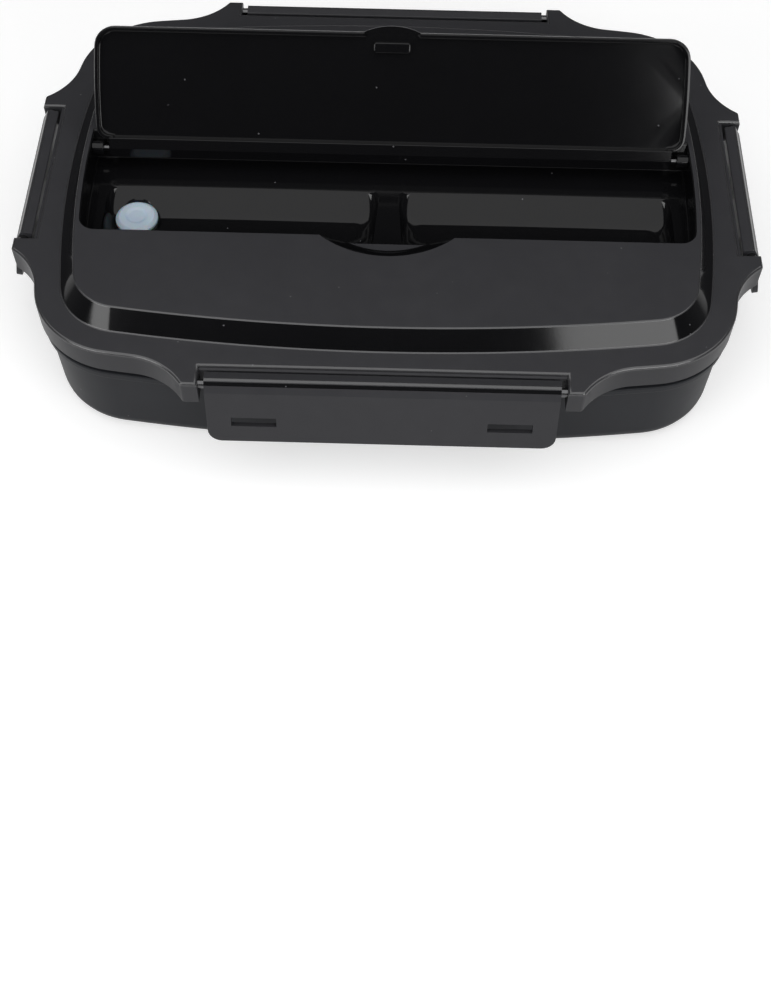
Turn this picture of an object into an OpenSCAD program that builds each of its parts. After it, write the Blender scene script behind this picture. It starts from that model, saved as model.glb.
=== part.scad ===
// Three-compartment lunch box. A black plastic tub carries a pressed steel tray, and a lid closes both.
// The lid has four hinged latches and a well for cutlery under a hinged flap.
// +X is along the length, -Y is the front, +Z is up. The origin is under the middle of the tub.
// The latches stand a little off the tub and the flap stands open.

/* [Outline] */
// Half the length of the lid at the middle of its short sides
half_length = 136.8; // [130:0.2:145]
// Half the width of the lid at the middle of its long sides
half_width = 98.2; // [94:0.2:104]
// Radius of the bowed short sides
short_side_r = 377; // [300:1:600]
// Radius of the bowed long sides
long_side_r = 772; // [600:1:1000]
// Radius of the four corners
corner_r = 35; // [30:0.5:40]

/* [Heights] */
// Height of the flat rim of the lid above the table
rim_z = 51; // [48:0.5:60]
// Rise of the plateau above the rim
plateau_h = 7; // [6.4:0.1:10]
// Depth of the lid's skirt
skirt_h = 10.6; // [9.6:0.1:11]
// Depth from the rim of the lid to the ledge round the cutlery well
ledge_drop = 4.8; // [4:0.1:7]
// Depth from the ledge to the floor of the well
well_depth = 7.2; // [5:0.1:8]

/* [Tub] */
// Wall of the tub
tub_wall = 2.4; // [1.8:0.1:3]
// Floor of the tub
tub_floor = 2.2; // [1.8:0.1:3]
// Radius along the bottom edge of the tub
tub_bottom_r = 8; // [5:0.5:12]
// How far the wall leans in from under the flange to the bottom edge
tub_draft = 0.7; // [0.3:0.1:3]
// Height of the flange that the latches hook under
flange_h = 3; // [2.4:0.1:3.6]
// How far the flange stands out from the wall
flange_out = 1.5; // [1.2:0.1:1.8]
// Width of the tub's rim, which carries the tray
tub_rim_w = 4.6; // [4.2:0.1:5]
// Width of the rim left bare outside the tray's lip
rim_band = 3.4; // [2.8:0.1:3.8]
// Depth of the hollow under the tub
foot_hollow = 0.8; // [0.4:0.1:1]
// Width of the ring that the tub stands on
foot_ring_w = 5; // [3:0.5:9]

/* [Tray] */
// Thickness of the pressed steel
sheet = 0.8; // [0.6:0.05:1]
// Height of the rolled lip on the rim of the tub
lip_h = 1.4; // [1.2:0.1:1.8]
// Width of the rolled lip
lip_w = 2.8; // [2.4:0.1:3.2]
// Gap between the deck of the tray and the cutlery well above it
deck_gap = 1.9; // [1:0.1:4]
// Gap between the tray and the floor of the tub
tray_floor_gap = 0.8; // [0.4:0.1:2]
// Run of the tray's wall between the lip and the deck
tray_wall_run = 2; // [1.4:0.1:3]
// Distance from the outline to the compartments along the long sides
side_margin = 13.4; // [13:0.1:16]
// Distance from the outline to the compartments along the short sides
end_margin = 15.8; // [13:0.1:18]
// Place along X of the middle of the divider beside the large compartment
divider_x = 17; // [5:0.5:30]
// Place along Y of the middle of the divider between the small compartments
divider_y = 1.2; // [-10:0.2:10]
// Width of both dividers
divider_w = 7.6; // [6:0.2:12]
// Radius of the compartments' corners
compartment_r = 20; // [17:0.5:24]

/* [Lid] */
// Wall of the lid
lid_wall = 2; // [1.6:0.1:2.2]
// Wall of the cutlery well
well_wall = 1.6; // [1.2:0.1:1.8]
// Distance from the outline to the foot of the plateau
plateau_in = 10; // [9.5:0.1:12]
// Run of the sloped band round the plateau
band_run = 6; // [5:0.1:8]
// Width of the plateau left outside the flap at each end
end_land = 2.2; // [1.8:0.1:2.6]
// Distance from the middle of the lid to the front edge of the flap opening
opening_front = 37.5; // [35:0.5:42]
// Radius of the front corners of the flap opening
opening_r = 6; // [4:0.5:9]
// Half the width of the finger scoop
scoop_half_w = 25.5; // [18:0.5:30]
// Depth of the finger scoop in front of the flap
scoop_d = 10; // [7:0.5:12]
// Depth of the scoop's floor below the plateau
scoop_floor = 4.1; // [3.4:0.1:5]
// Run of the scoop's sloped wall
scoop_run = 6; // [4:0.5:7]

/* [Cutlery well] */
// Distance from the middle of the lid's short side to the end of the well
well_end = 24.8; // [23:0.1:32]
// Distance from the middle of the lid to the rear edge of the well
well_rear = 3; // [1:0.2:5]
// Ledge left between the well and the front edge of the opening
well_front_ledge = 2.5; // [2:0.5:5]
// Width of the rib that parts the well
well_rib = 7.2; // [5:0.2:14]
// How far the rib's sides splay towards the front, in degrees
rib_splay = 4; // [0:0.5:6]
// Run of the sloped wall along the front and rear of the well
well_side_run = 11; // [8:0.5:12]
// Run of the wall at the ends of the well
well_end_run = 6.5; // [5:0.5:8]
// Radius of the well's edge at its corners
well_edge_r = 2; // [1.5:0.5:3]
// Radius of the well's wall at its corners
well_r = 6.5; // [5:0.5:8]

/* [Flap] */
// Distance from the middle of the lid to the flap's hinge
flap_hinge_y = 9; // [7:0.5:12]
// Thickness of the flap's plate
flap_plate = 1.6; // [1.2:0.1:2]
// Depth of the flap at its edge
flap_edge = 3.6; // [3:0.1:4.4]
// Radius of the round rear edge of the flap
flap_barrel_r = 3.3; // [2.8:0.1:3.6]
// Gap in front of the flap
flap_gap = 0.4; // [0.3:0.05:0.7]
// Gap at each end of the flap
flap_end_gap = 1.8; // [1.2:0.1:2.4]
// How far the flap stands open, in degrees from closed
flap_open = 124; // [100:1:128]
// How far the flap's rear corners are cut back beside its pins
flap_corner = 5; // [4.6:0.1:6]
// Length of the stub of a pin that shows beside the flap
flap_pin_bare = 2.2; // [1:0.1:3]
// Radius of the bosses that hold the flap's pins
flap_boss_r = 2.6; // [2.2:0.1:2.8]
// Width of the thumb tab
tab_w = 22; // [16:0.5:30]
// How far the thumb tab stands out
tab_out = 2.3; // [1.5:0.1:4]
// Diameter of the flap's pins
flap_pin_d = 2.4; // [2:0.1:3]

/* [Latches] */
// Half the length of the notch for a front or rear latch
long_notch_half = 66.5; // [60:0.5:72]
// Half the length of the notch for a side latch
side_notch_half = 36.3; // [32:0.5:42]
// How far the straight bottom of a notch lies inside the widest point
notch_in = 0.9; // [0.8:0.1:1]
// Width of the rebate along the bottom of a notch
notch_rebate = 1; // [0.6:0.1:1.2]
// Gap between a latch's end and the lid
latch_end_gap = 2.3; // [1.5:0.1:3]
// Gap between a latch's hinge and the bowed edge of the lid
latch_slit = 0.5; // [0.4:0.05:1.2]
// Depth of a latch from its inner edge to its face
latch_depth = 6.2; // [5.8:0.1:6.6]
// Height of a latch
latch_h = 28.4; // [26:0.2:34]
// Thickness of a latch's plate
latch_plate = 2.2; // [1.8:0.1:2.4]
// Radius of a latch's lower corners
latch_corner_r = 5; // [3:0.5:8]
// Radius along the top edge of a latch
latch_edge_r = 2.6; // [1.5:0.1:2.8]
// Width of the windows over the hooks
window_w = 16.6; // [12:0.2:20]
// Height of the windows over the hooks
window_h = 4.1; // [3:0.1:5]
// Distance from the middle of a long latch to its windows
long_window_x = 47; // [36:0.5:50]
// Distance from the middle of a side latch to its windows
side_window_x = 20; // [16:0.5:22]
// How far the latches stand off, in degrees from closed
latch_ajar = 12; // [10:0.5:20]
// Diameter of the latch pins
latch_pin_d = 3.4; // [2.4:0.1:3.8]
// Length of the ears beside a notch
ear_len = 6; // [5:0.5:9]
// Radius where the ears run into the outline
ear_blend_r = 26; // [20:1:34]

/* [Vent plug] */
// Diameter of the plug's head
plug_d = 16.8; // [12:0.2:18]
// Height of the plug's head
plug_head_h = 2.3; // [1.5:0.1:3.5]
// Diameter of the plug's stem
plug_stem_d = 6.4; // [5:0.2:8]
// Length of the stem below the well
plug_stem_below = 2.2; // [1:0.1:3]
// Distance from the end of the well to the middle of the plug
plug_end = 12; // [11.5:0.5:20]
// Distance from the rear edge of the well to the middle of the plug
plug_rear = 12.5; // [12:0.5:14]

/* [Fits] */
// Radial gap of a pin in a hole that turns on it
run_fit = 0.08; // [0.04:0.01:0.1]
// Radial gap of a pin or plug in a hole that holds it
hold_fit = 0.03; // [0.02:0.01:0.05]
// Gap between the gasket and the tray's lip
seal_gap = 0.15; // [0.1:0.05:0.4]

/* [Hidden] */

$fn = 48;
cut = 0.5;            // overrun of a cut past the face it opens
side_steps = 6;       // segments along a side of an outline
corner_steps = 8;     // segments round a corner
straight_r = 4000;    // radius that stands for a straight side

// Heights worked out from the rim of the lid downwards
plateau_z = rim_z + plateau_h;
rim_under = rim_z - lid_wall;
skirt_z = rim_z - skirt_h;
ledge_z = rim_z - ledge_drop;
well_z = ledge_z - well_depth;
well_under = well_z - well_wall;
gasket_h = 2.25;
lip_top = rim_under - gasket_h - seal_gap;
tub_rim_z = lip_top - lip_h;
deck_z = well_under - deck_gap;
flange_gap = 2.9;     // open slot between the skirt and the flange
flange_top = skirt_z - flange_gap;
flange_z = flange_top - flange_h;
tray_floor_z = foot_hollow + tub_floor + tray_floor_gap + sheet;

// Insets from the outline
skirt_fit = 0.5;      // gap between the skirt and the tub's rim
tub_rim_in = lid_wall + skirt_fit;
flange_in = 0.7;
tub_wall_in = flange_in + flange_out;
lip_in = tub_rim_in + rim_band;
gasket_in = lip_in;
gasket_w = 3;
rib_gap = 0.3;        // gap between the gasket and the ribs beside it
rib_h = 6;            // depth of the rib inside the gasket
rib_w = 1.4;
rib_clear = 0.4;      // gap between the outer rib and the tray's lip
plateau_top_in = plateau_in + band_run;
opening_in = plateau_top_in + end_land;

opening_rear = flap_hinge_y + flap_barrel_r + flap_gap;
flap_hinge_z = plateau_z - flap_barrel_r;
flap_clear = 3.3;     // the flap's corners stay this far from the hinge line
flap_corner_r = opening_r + 2;
flap_rim = 1.6;       // wall round the underside of the flap
flap_stop_w = 5;      // solid behind the opening that the open flap leans along
snap_w = 14;          // rib that holds the flap shut
snap_d = 4;
snap_h = 2;
scoop_z = plateau_z - scoop_floor;
scoop_r = (pow(scoop_half_w, 2) + pow(scoop_d, 2)) / (2 * scoop_d);
well_half = half_length - well_end;
plug_x = plug_end - well_half;
plug_y = -well_rear - plug_rear;
plug_pad_h = 1.2;
plug_pad_r = plug_d / 2 + 0.8;
well_width = opening_front - well_front_ledge - well_rear;
well_floor_r = min(4.5, well_width / 2 - well_side_run - 0.2);

latch_barrel_r = 3.2;
latch_pivot_z = rim_z - latch_barrel_r;
ear_out = latch_depth + latch_slit;   // how far the ears stand out from the widest point
ear_corner_r = 1.5;
rebate_h = 1.2;
latch_brow_r = 0.6;   // radius along the inner top edge of a latch
hook_in = flange_in + 1.1;            // the hooks reach this far in under the flange
hook_gap = 0.3;
hook_h = 3;
hook_root_h = 5;      // height of a hook where it leaves the plate
hook_reach = 5;       // the part of a hook that is trimmed to the tub's outline
pin_hold = 4.4;       // length of a latch pin held in an ear
pin_run = 9;          // length of a latch pin inside a latch
flap_pin_hold = 3.4;
flap_pin_run = 7;

// ---- outlines ----

// The crossing of two circles, each [x, y, radius], that lies to the left of the line between them
function crossing(a, b) =
    let (d = [b.x - a.x, b.y - a.y],
         span = norm(d),
         along = (a.z * a.z - b.z * b.z + span * span) / (2 * span),
         across = sqrt(a.z * a.z - along * along))
    [a.x + (along * d.x - across * d.y) / span,
     a.y + (along * d.y + across * d.x) / span];

function shrunk(side, by) = [side.x, side.y, side.z - by];
function angle_from(side, p) = atan2(p.y - side.y, p.x - side.x);
// The turn from one angle to another, anticlockwise
function turn(a, b) = let (t = (b - a) % 360) t < -180 ? t + 360 : (t > 180 ? t - 360 : t);
function arc(centre, r, a, b, steps) =
    [for (i = [0 : steps - 1]) let (t = a + turn(a, b) * i / steps)
        [centre.x + r * cos(t), centre.y + r * sin(t)]];

// A ring of four bowed sides, anticlockwise, with round corners, moved in by inset
function ring(sides, r, inset, along = side_steps, round = corner_steps) =
    let (centres = [for (i = [0 : 3]) crossing(shrunk(sides[i], r), shrunk(sides[(i + 1) % 4], r))])
    [for (i = [0 : 3])
        let (side = sides[i],
             next = sides[(i + 1) % 4],
             before = centres[(i + 3) % 4],
             after = centres[i])
        each concat(
            arc(side, side.z - inset, angle_from(side, before), angle_from(side, after), along),
            arc(after, r - inset, angle_from(side, after), angle_from(next, after), round))];

lid_sides = [[half_length - short_side_r, 0, short_side_r],
             [0, half_width - long_side_r, long_side_r],
             [short_side_r - half_length, 0, short_side_r],
             [0, long_side_r - half_width, long_side_r]];

function outline(inset) = ring(lid_sides, corner_r, inset);
// Half the length or width of the outline across a point of the other axis
function reach_x(y) = half_length - short_side_r + sqrt(pow(short_side_r, 2) - y * y);

// A box with straight sides, as four sides for ring()
function box_sides(low, high) =
    [[high.x - straight_r, (low.y + high.y) / 2, straight_r],
     [(low.x + high.x) / 2, high.y - straight_r, straight_r],
     [low.x + straight_r, (low.y + high.y) / 2, straight_r],
     [(low.x + high.x) / 2, low.y + straight_r, straight_r]];

// ---- solids from rings ----

function quads(rings, n, closed) =
    [for (i = [0 : closed ? rings - 1 : rings - 2], j = [0 : n - 1])
        let (k = (i + 1) % rings, m = (j + 1) % n)
        [i * n + j, k * n + j, k * n + m, i * n + m]];

// Joins rings of equal length into a solid with a flat face at each end
module stack(rings) {
    n = len(rings[0]);
    m = len(rings);
    polyhedron([for (one = rings) each one],
        concat(quads(m, n, false),
            [[for (j = [0 : n - 1]) j]],
            [[for (j = [n - 1 : -1 : 0]) (m - 1) * n + j]]), convexity = 10);
}

// Stacks rings along a profile of [inset, z] that starts on the underside and ends on the inside
module vessel(sides, r, profile, along = side_steps, round = corner_steps) {
    stack([for (p = profile) [for (q = ring(sides, r, p[0], along, round)) [q.x, q.y, p[1]]]]);
}

// Sweeps a closed section of [inset, z] round the outline
module hoop(section) {
    rings = [for (p = section) [for (q = outline(p[0])) [q.x, q.y, p[1]]]];
    polyhedron([for (one = rings) each one], quads(len(rings), len(rings[0]), true), convexity = 10);
}

module slab(low, high) {
    translate([0, 0, low]) linear_extrude(high - low) children();
}

// ---- tub ----

tub_foot = [for (a = [0 : 22.5 : 90])
    [tub_wall_in + tub_draft + tub_bottom_r * (1 - sin(a)), tub_bottom_r * (1 - cos(a))]];
foot_in = tub_wall_in + tub_draft + tub_bottom_r + foot_ring_w;
foot_slope = 1;       // run from the foot ring up to the hollow
tub_rim_h = 1.5;      // height of the rim's inner edge
tub_thicken = 0.4;    // extra wall behind the flange

module base_tub() {
    inner_r = tub_bottom_r - tub_wall;
    floor_top = foot_hollow + tub_floor;
    color([0.09, 0.09, 0.1]) vessel(lid_sides, corner_r, concat(
        [[foot_in + foot_slope, foot_hollow], [foot_in, 0]],
        tub_foot,
        [[tub_wall_in, flange_z], [flange_in, flange_z], [flange_in, flange_top],
         [tub_rim_in, flange_top], [tub_rim_in, tub_rim_z],
         [tub_rim_in + tub_rim_w, tub_rim_z], [tub_rim_in + tub_rim_w, tub_rim_z - tub_rim_h],
         [tub_wall_in + tub_wall + tub_thicken, flange_z]],
        [for (a = [90 : -30 : 0])
            [tub_wall_in + tub_draft + tub_wall + inner_r * (1 - sin(a)),
             floor_top + inner_r * (1 - cos(a))]]));
}

// ---- tray ----

step_in = lip_in + lip_w;             // top of the wall between the lip and the deck
deck_in = step_in + tray_wall_run;    // foot of that wall
lip_round = 0.6;      // round edges of the lip
deck_round = 1.6;     // round foot of the wall

// The bowed side of a compartment along the front or rear
function long_side(front) = front
    ? [0, long_side_r - half_width, long_side_r - side_margin]
    : [0, half_width - long_side_r, long_side_r - side_margin];
outer_left = [short_side_r - half_length, 0, short_side_r - end_margin];
outer_right = [half_length - short_side_r, 0, short_side_r - end_margin];
divider_left = [divider_x - divider_w / 2 - straight_r, 0, straight_r];
divider_right = [divider_x + divider_w / 2 + straight_r, 0, straight_r];
divider_rear = [0, divider_y + divider_w / 2 + straight_r, straight_r];
divider_front = [0, divider_y - divider_w / 2 - straight_r, straight_r];
// The four sides of each compartment
compartments = [
    [divider_left, long_side(false), outer_left, divider_rear],
    [divider_left, divider_front, outer_left, long_side(true)],
    [outer_right, long_side(false), divider_right, long_side(true)]];

bowl_steps = 4;
bowl_round = 6;
bowl_edge_r = 1.7;    // roll from the deck into a compartment
bowl_step_in = 4.4;   // run from the edge to the small step in the wall
bowl_step_h = 16;     // height of the step above the floor
bowl_step = 1;        // width of the step
bowl_foot_in = 15;    // run from the edge to the flat floor
bowl_foot_r = 10;     // round foot of the wall
// The inside of a compartment from its edge down, as [inset, height, angle of the wall]
function bowl(floor_z) = concat(
    [for (a = [90, 45, 10]) [bowl_edge_r * cos(a), deck_z - bowl_edge_r * (1 - sin(a)), a]],
    [[bowl_step_in - bowl_step, floor_z + bowl_step_h, 8],
     [bowl_step_in, floor_z + bowl_step_h - bowl_step, 12]],
    [for (a = [15, 45, 70, 90])
        [bowl_foot_in - bowl_foot_r * cos(a), floor_z + bowl_foot_r * (1 - sin(a)), a]]);
function bowl_back(floor_z) = [for (p = bowl(floor_z))
    [p[0] - sheet * cos(p[2]), p[1] - sheet * sin(p[2])]];

module steel_tray() {
    inside = bowl(tray_floor_z);
    back = bowl_back(tray_floor_z);
    last = len(inside) - 1;
    color([0.85, 0.86, 0.88]) {
        hoop([[lip_in, tub_rim_z], [lip_in, lip_top - lip_round], [lip_in + lip_round, lip_top],
              [step_in - lip_round, lip_top], [step_in, lip_top - lip_round],
              [deck_in - deck_round / 2, deck_z + deck_round], [deck_in, deck_z],
              [deck_in + sheet, deck_z], [deck_in + sheet, deck_z - sheet],
              [deck_in - sheet, deck_z - sheet], [step_in - sheet / 2, deck_z + deck_round - sheet / 2],
              [step_in - sheet, tub_rim_z]]);
        slab(deck_z - sheet, deck_z) difference() {
            polygon(outline(deck_in + sheet / 2));
            for (one = compartments) polygon(ring(one, compartment_r, 0, bowl_steps, bowl_round));
        }
        for (one = compartments) vessel(one, compartment_r, concat(
            [for (i = [last : -1 : 0]) back[i]],
            [[-sheet, deck_z - sheet], [-sheet, deck_z]],
            inside), bowl_steps, bowl_round);
    }
}

// ---- lid ----

module lid_plan() {
    long_block = [2 * (long_notch_half + ear_len), 2 * (half_width + ear_out)];
    side_block = [2 * (half_length + ear_out), 2 * (side_notch_half + ear_len)];
    difference() {
        offset(r = ear_corner_r) offset(r = -ear_corner_r) offset(r = -ear_blend_r) offset(r = ear_blend_r) union() {
            polygon(outline(0));
            square(long_block, center = true);
            square(side_block, center = true);
        }
        difference() {
            union() {
                square([2 * long_notch_half, long_block.y + 2 * cut], center = true);
                square([side_block.x + 2 * cut, 2 * side_notch_half], center = true);
            }
            notch_floors(notch_in);
        }
    }
}

// Two crossed strips whose ends are the bottoms of the notches
module notch_floors(inset) {
    square([2 * long_notch_half + 2 * cut, 2 * (half_width - inset)], center = true);
    square([2 * (half_length - inset), 2 * side_notch_half + 2 * cut], center = true);
}

// A shallow rebate along the bottom of each notch, which the latch's top edge swings past
module notch_rebates() {
    slab(rim_z - rebate_h, rim_z + cut) difference() {
        union() {
            square([2 * long_notch_half, 2 * half_width], center = true);
            square([2 * half_length, 2 * side_notch_half], center = true);
        }
        notch_floors(notch_in + notch_rebate);
    }
}

// Solid ends of the ears, where the pins are held
module ear_blocks() {
    slab(skirt_z, rim_under + cut) intersection() {
        lid_plan();
        for (u = [-1, 1], v = [-1, 1]) {
            translate([u * (long_notch_half + ear_len / 2), v * (half_width + ear_out / 2)])
                square([ear_len, ear_out + lid_wall], center = true);
            translate([u * (half_length + ear_out / 2), v * (side_notch_half + ear_len / 2)])
                square([ear_out + lid_wall, ear_len], center = true);
        }
    }
}

// A bay across the outline with bowed ends, a straight front and rear, and round front corners
module bay(end_in, front, rear, r) {
    intersection() {
        offset(r = r) offset(r = -r) intersection() {
            polygon(outline(end_in));
            translate([-half_length, front]) square([2 * half_length, rear - front + 2 * r]);
        }
        translate([-half_length, front]) square([2 * half_length, rear - front]);
    }
}

module opening_plan() {
    bay(opening_in, -opening_front, opening_rear, opening_r);
}

module scoop_plan(grow = 0) {
    intersection() {
        translate([0, scoop_r - opening_front - scoop_d]) circle(scoop_r + grow, $fn = 96);
        translate([-scoop_half_w - grow, -opening_front - scoop_d - grow])
            square([2 * (scoop_half_w + grow), scoop_d + grow + 3]);
    }
}

// The sides of the right well, moved in by end_in at its ends and by side_in along its front and rear
function well_sides(end_in, side_in) =
    let (sides = box_sides([well_rib / 2 + end_in, side_in - well_rear - well_width],
                           [well_half - end_in, -well_rear - side_in]))
    [sides[0], sides[1],
     [well_rib / 2 + end_in + straight_r * cos(rib_splay), -well_rear + straight_r * sin(rib_splay), straight_r],
     sides[3]];

// Levels of the well from its floor up, as [inset at the ends, inset along the sides, height, radius]
well_levels = [for (h = [0, 0.02, 0.1, 0.25, 0.45, 0.7, 0.97, 1])
    [well_end_run * (1 - sqrt(h * (2 - h))), well_side_run * (1 - sqrt(h)), well_z + h * well_depth,
     h == 1 ? well_edge_r : well_floor_r + (well_r - well_floor_r) * sqrt(h)]];

module well_hollow(grow = 0) {
    for (left = [0, 1]) mirror([left, 0, 0]) stack(concat(
        [for (p = well_levels) [for (q = ring(well_sides(p[0], p[1]), p[3], -grow, 2, 6))
            [q.x, q.y, p[2] - grow]]],
        [[for (q = ring(well_sides(0, 0), well_edge_r, -grow, 2, 6))
            [q.x, q.y, grow > 0 ? ledge_z - grow / 2 : ledge_z + cut]]]));
}

// The rim, its skirt and the hollow plateau
module lid_cover() {
    difference() {
        union() {
            slab(rim_under, rim_z) lid_plan();
            slab(skirt_z, rim_z) difference() {
                lid_plan();
                offset(delta = -lid_wall) lid_plan();
                polygon(outline(lid_wall));
            }
            ear_blocks();
            vessel(lid_sides, corner_r, [[plateau_in, rim_under], [plateau_in, rim_z],
                [plateau_top_in, plateau_z]]);
        }
        vessel(lid_sides, corner_r, [[plateau_in + lid_wall, rim_under - cut],
            [plateau_in + lid_wall, rim_z - lid_wall / 2],
            [plateau_top_in + lid_wall / 2, plateau_z - lid_wall]]);
    }
}

// The walls under the opening, the scoop and the well
module recess_walls() {
    slab(ledge_z - well_wall, plateau_z - lid_wall / 2) offset(delta = well_wall) opening_plan();
    slab(scoop_z - well_wall, plateau_z - lid_wall / 2) scoop_plan(well_wall);
    slab(flap_hinge_z - flap_barrel_r, plateau_z - lid_wall / 2)
        bay(opening_in - well_wall / 2, 0, opening_rear + flap_stop_w, opening_r);
    well_hollow(well_wall);
    translate([plug_x, plug_y, well_under]) cylinder(r = plug_pad_r + well_wall, h = ledge_z - well_z);
}

module recess_hollows() {
    slab(ledge_z, plateau_z + cut) opening_plan();
    hull() {
        slab(scoop_z, plateau_z) scoop_plan(-scoop_run);
        slab(plateau_z, plateau_z + cut) scoop_plan();
    }
    flap_stop();
    difference() {
        well_hollow();
        plug_pad();
    }
    translate([plug_x, plug_y, well_z + plug_pad_h]) cylinder(r = plug_pad_r, h = well_depth);
    translate([plug_x, plug_y, well_under - cut])
        cylinder(d = plug_stem_d + 2 * run_fit, h = ledge_z - well_under);
}

module lid_shell() {
    color([0.1, 0.1, 0.11]) difference() {
        union() {
            difference() {
                union() {
                    lid_cover();
                    gasket_ribs();
                    recess_walls();
                }
                recess_hollows();
            }
            flap_bosses();
        }
        notch_rebates();
        flap_pins_at(flap_pin_d / 2 + hold_fit);
        for (i = [0 : 3]) latch_pins_at(i, latch_pin_d / 2 + hold_fit, cut);
    }
}

// The slope behind the hinge that the open flap leans along
module flap_stop() {
    lean = flap_open - 90;
    foot = [flap_hinge_y + (flap_barrel_r + flap_gap) * cos(lean),
            flap_hinge_z - (flap_barrel_r + flap_gap) * sin(lean)];
    rise = plateau_z + cut - foot.y;
    intersection() {
        slab(ledge_z, plateau_z + cut) polygon(outline(opening_in + flap_end_gap / 2));
        translate([-half_length, 0, 0]) rotate([90, 0, 90]) linear_extrude(2 * half_length)
            polygon([foot, foot + rise * [tan(lean), 1], [flap_hinge_y, foot.y + rise], [flap_hinge_y, foot.y]]);
    }
}

module gasket_ribs() {
    inner = gasket_in + gasket_w + rib_gap;
    hoop([[inner, rim_under - rib_h], [inner, rim_under + lid_wall / 2],
          [inner + rib_w, rim_under + lid_wall / 2], [inner + rib_w, rim_under - rib_h]]);
    hoop([[lid_wall / 2, lip_top + rib_clear], [lid_wall / 2, rim_under + lid_wall / 2],
          [gasket_in - rib_gap, rim_under + lid_wall / 2], [gasket_in - rib_gap, lip_top + rib_clear]]);
}

module plug_pad() {
    translate([plug_x, plug_y, well_z - well_wall / 2]) cylinder(r = plug_pad_r, h = plug_pad_h + well_wall / 2);
}

// Bosses on the ends of the opening, where the flap's pins are held
module flap_bosses() {
    for (u = [-1, 1]) translate([u * flap_boss_x, flap_hinge_y, flap_hinge_z]) rotate([0, 90 * u, 0])
        cylinder(r = flap_boss_r, h = opening_end_x - flap_boss_x + well_wall / 2);
}

module lid_gasket() {
    low = lip_top + seal_gap;
    round = gasket_w / 4;
    color([0.62, 0.63, 0.65]) hoop([[gasket_in, low + round], [gasket_in, rim_under],
        [gasket_in + gasket_w, rim_under], [gasket_in + gasket_w, low + round],
        [gasket_in + gasket_w - round, low], [gasket_in + round, low]]);
}

module vent_plug() {
    seat = well_z + plug_pad_h;
    color([0.8, 0.87, 0.93]) translate([plug_x, plug_y, 0]) {
        translate([0, 0, well_under - plug_stem_below])
            cylinder(d = plug_stem_d, h = seat - well_under + plug_stem_below + cut);
        rotate_extrude($fn = 64) polygon([[0, seat], [plug_d / 2, seat], [plug_d / 2, seat + plug_head_h * 0.45],
            [plug_d / 2 - 0.5, seat + plug_head_h * 0.75], [plug_d / 2 - 1.5, seat + plug_head_h], [0, seat + plug_head_h]]);
    }
}

// ---- flap ----

// Along the hinge line: the end of the opening, of the flap's barrel, and the face of the boss
opening_end_x = reach_x(flap_hinge_y) - opening_in;
flap_barrel_x = opening_end_x - flap_end_gap - flap_corner;
flap_boss_x = flap_barrel_x + flap_pin_bare;
flap_front = flap_gap - opening_front;

module flap_pins_at(r) {
    for (u = [-1, 1]) flap_pin_at(u, r);
}

module flap_pin_at(u, r, grow = 0) {
    low = flap_barrel_x - flap_pin_run - grow;
    high = flap_boss_x + flap_pin_hold;
    translate([u * low, flap_hinge_y, flap_hinge_z]) rotate([0, 90 * u, 0]) cylinder(r = r, h = high - low);
}

// The flap as it lies closed
module closed_flap() {
    difference() {
        union() {
            slab(plateau_z - flap_plate, plateau_z) {
                flap_plan();
                tab_plan();
            }
            slab(plateau_z - flap_edge, plateau_z) difference() {
                flap_plan();
                offset(delta = -flap_rim) flap_plan();
                translate([cut - tab_w / 2, flap_front - cut]) square([tab_w - 2 * cut, flap_rim + 2 * cut]);
            }
            translate([-snap_w / 2, flap_front + flap_edge, plateau_z - flap_plate - snap_h])
                cube([snap_w, snap_d, snap_h + cut]);
            translate([0, flap_hinge_y, flap_hinge_z]) rotate([0, 90, 0])
                cylinder(r = flap_barrel_r, h = 2 * flap_barrel_x, center = true);
        }
        for (u = [-1, 1]) flap_pin_at(u, flap_pin_d / 2 + run_fit, cut);
    }
}

// The flap's outline, with its rear corners cut back beside the pins
module flap_plan() {
    difference() {
        bay(opening_in + flap_end_gap, flap_front, flap_hinge_y, flap_corner_r);
        for (u = [-1, 1]) translate([u * flap_barrel_x, flap_hinge_y - flap_clear - flap_corner]) difference() {
            translate([u < 0 ? -half_length : 0, 0]) square(half_length);
            circle(flap_corner);
        }
    }
}

module tab_plan() {
    r = (pow(tab_w / 2, 2) + pow(tab_out, 2)) / (2 * tab_out);
    intersection() {
        translate([0, r + flap_front - tab_out]) circle(r, $fn = 96);
        translate([-tab_w, flap_front - tab_out]) square([2 * tab_w, tab_out + 1]);
    }
}

module turned_about(p, angles) {
    translate(p) rotate(angles) translate(-p) children();
}

module cutlery_flap() {
    color([0.07, 0.07, 0.08])
        turned_about([0, flap_hinge_y, flap_hinge_z], [-flap_open, 0, 0]) closed_flap();
}

module flap_pin(u) {
    color([0.75, 0.76, 0.78]) flap_pin_at(u, flap_pin_d / 2);
}

// ---- latches ----

// Each latch: turn about Z, reach of the outline, half the notch, place of the windows
latch_turns = [0, 180, -90, 90];
latch_reach = [half_width, half_width, half_length, half_length];
latch_notch = [long_notch_half, long_notch_half, side_notch_half, side_notch_half];
latch_window_x = [long_window_x, long_window_x, side_window_x, side_window_x];

function pivot_reach(i) = latch_reach[i] + latch_slit + latch_barrel_r;

// A latch's two pins, as if it were the front one, turned to its side
module latch_pins_at(i, r, grow = 0) {
    for (u = [-1, 1]) latch_pin_at(i, u, r, grow);
}

module latch_pin_at(i, u, r, grow = 0) {
    low = latch_notch[i] - latch_end_gap - pin_run;
    high = latch_notch[i] + pin_hold;
    rotate([0, 0, latch_turns[i]])
        translate([u * (low + high) / 2, -pivot_reach(i), latch_pivot_z]) rotate([0, 90, 0])
            cylinder(r = r, h = high - low + grow, center = true);
}

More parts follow.
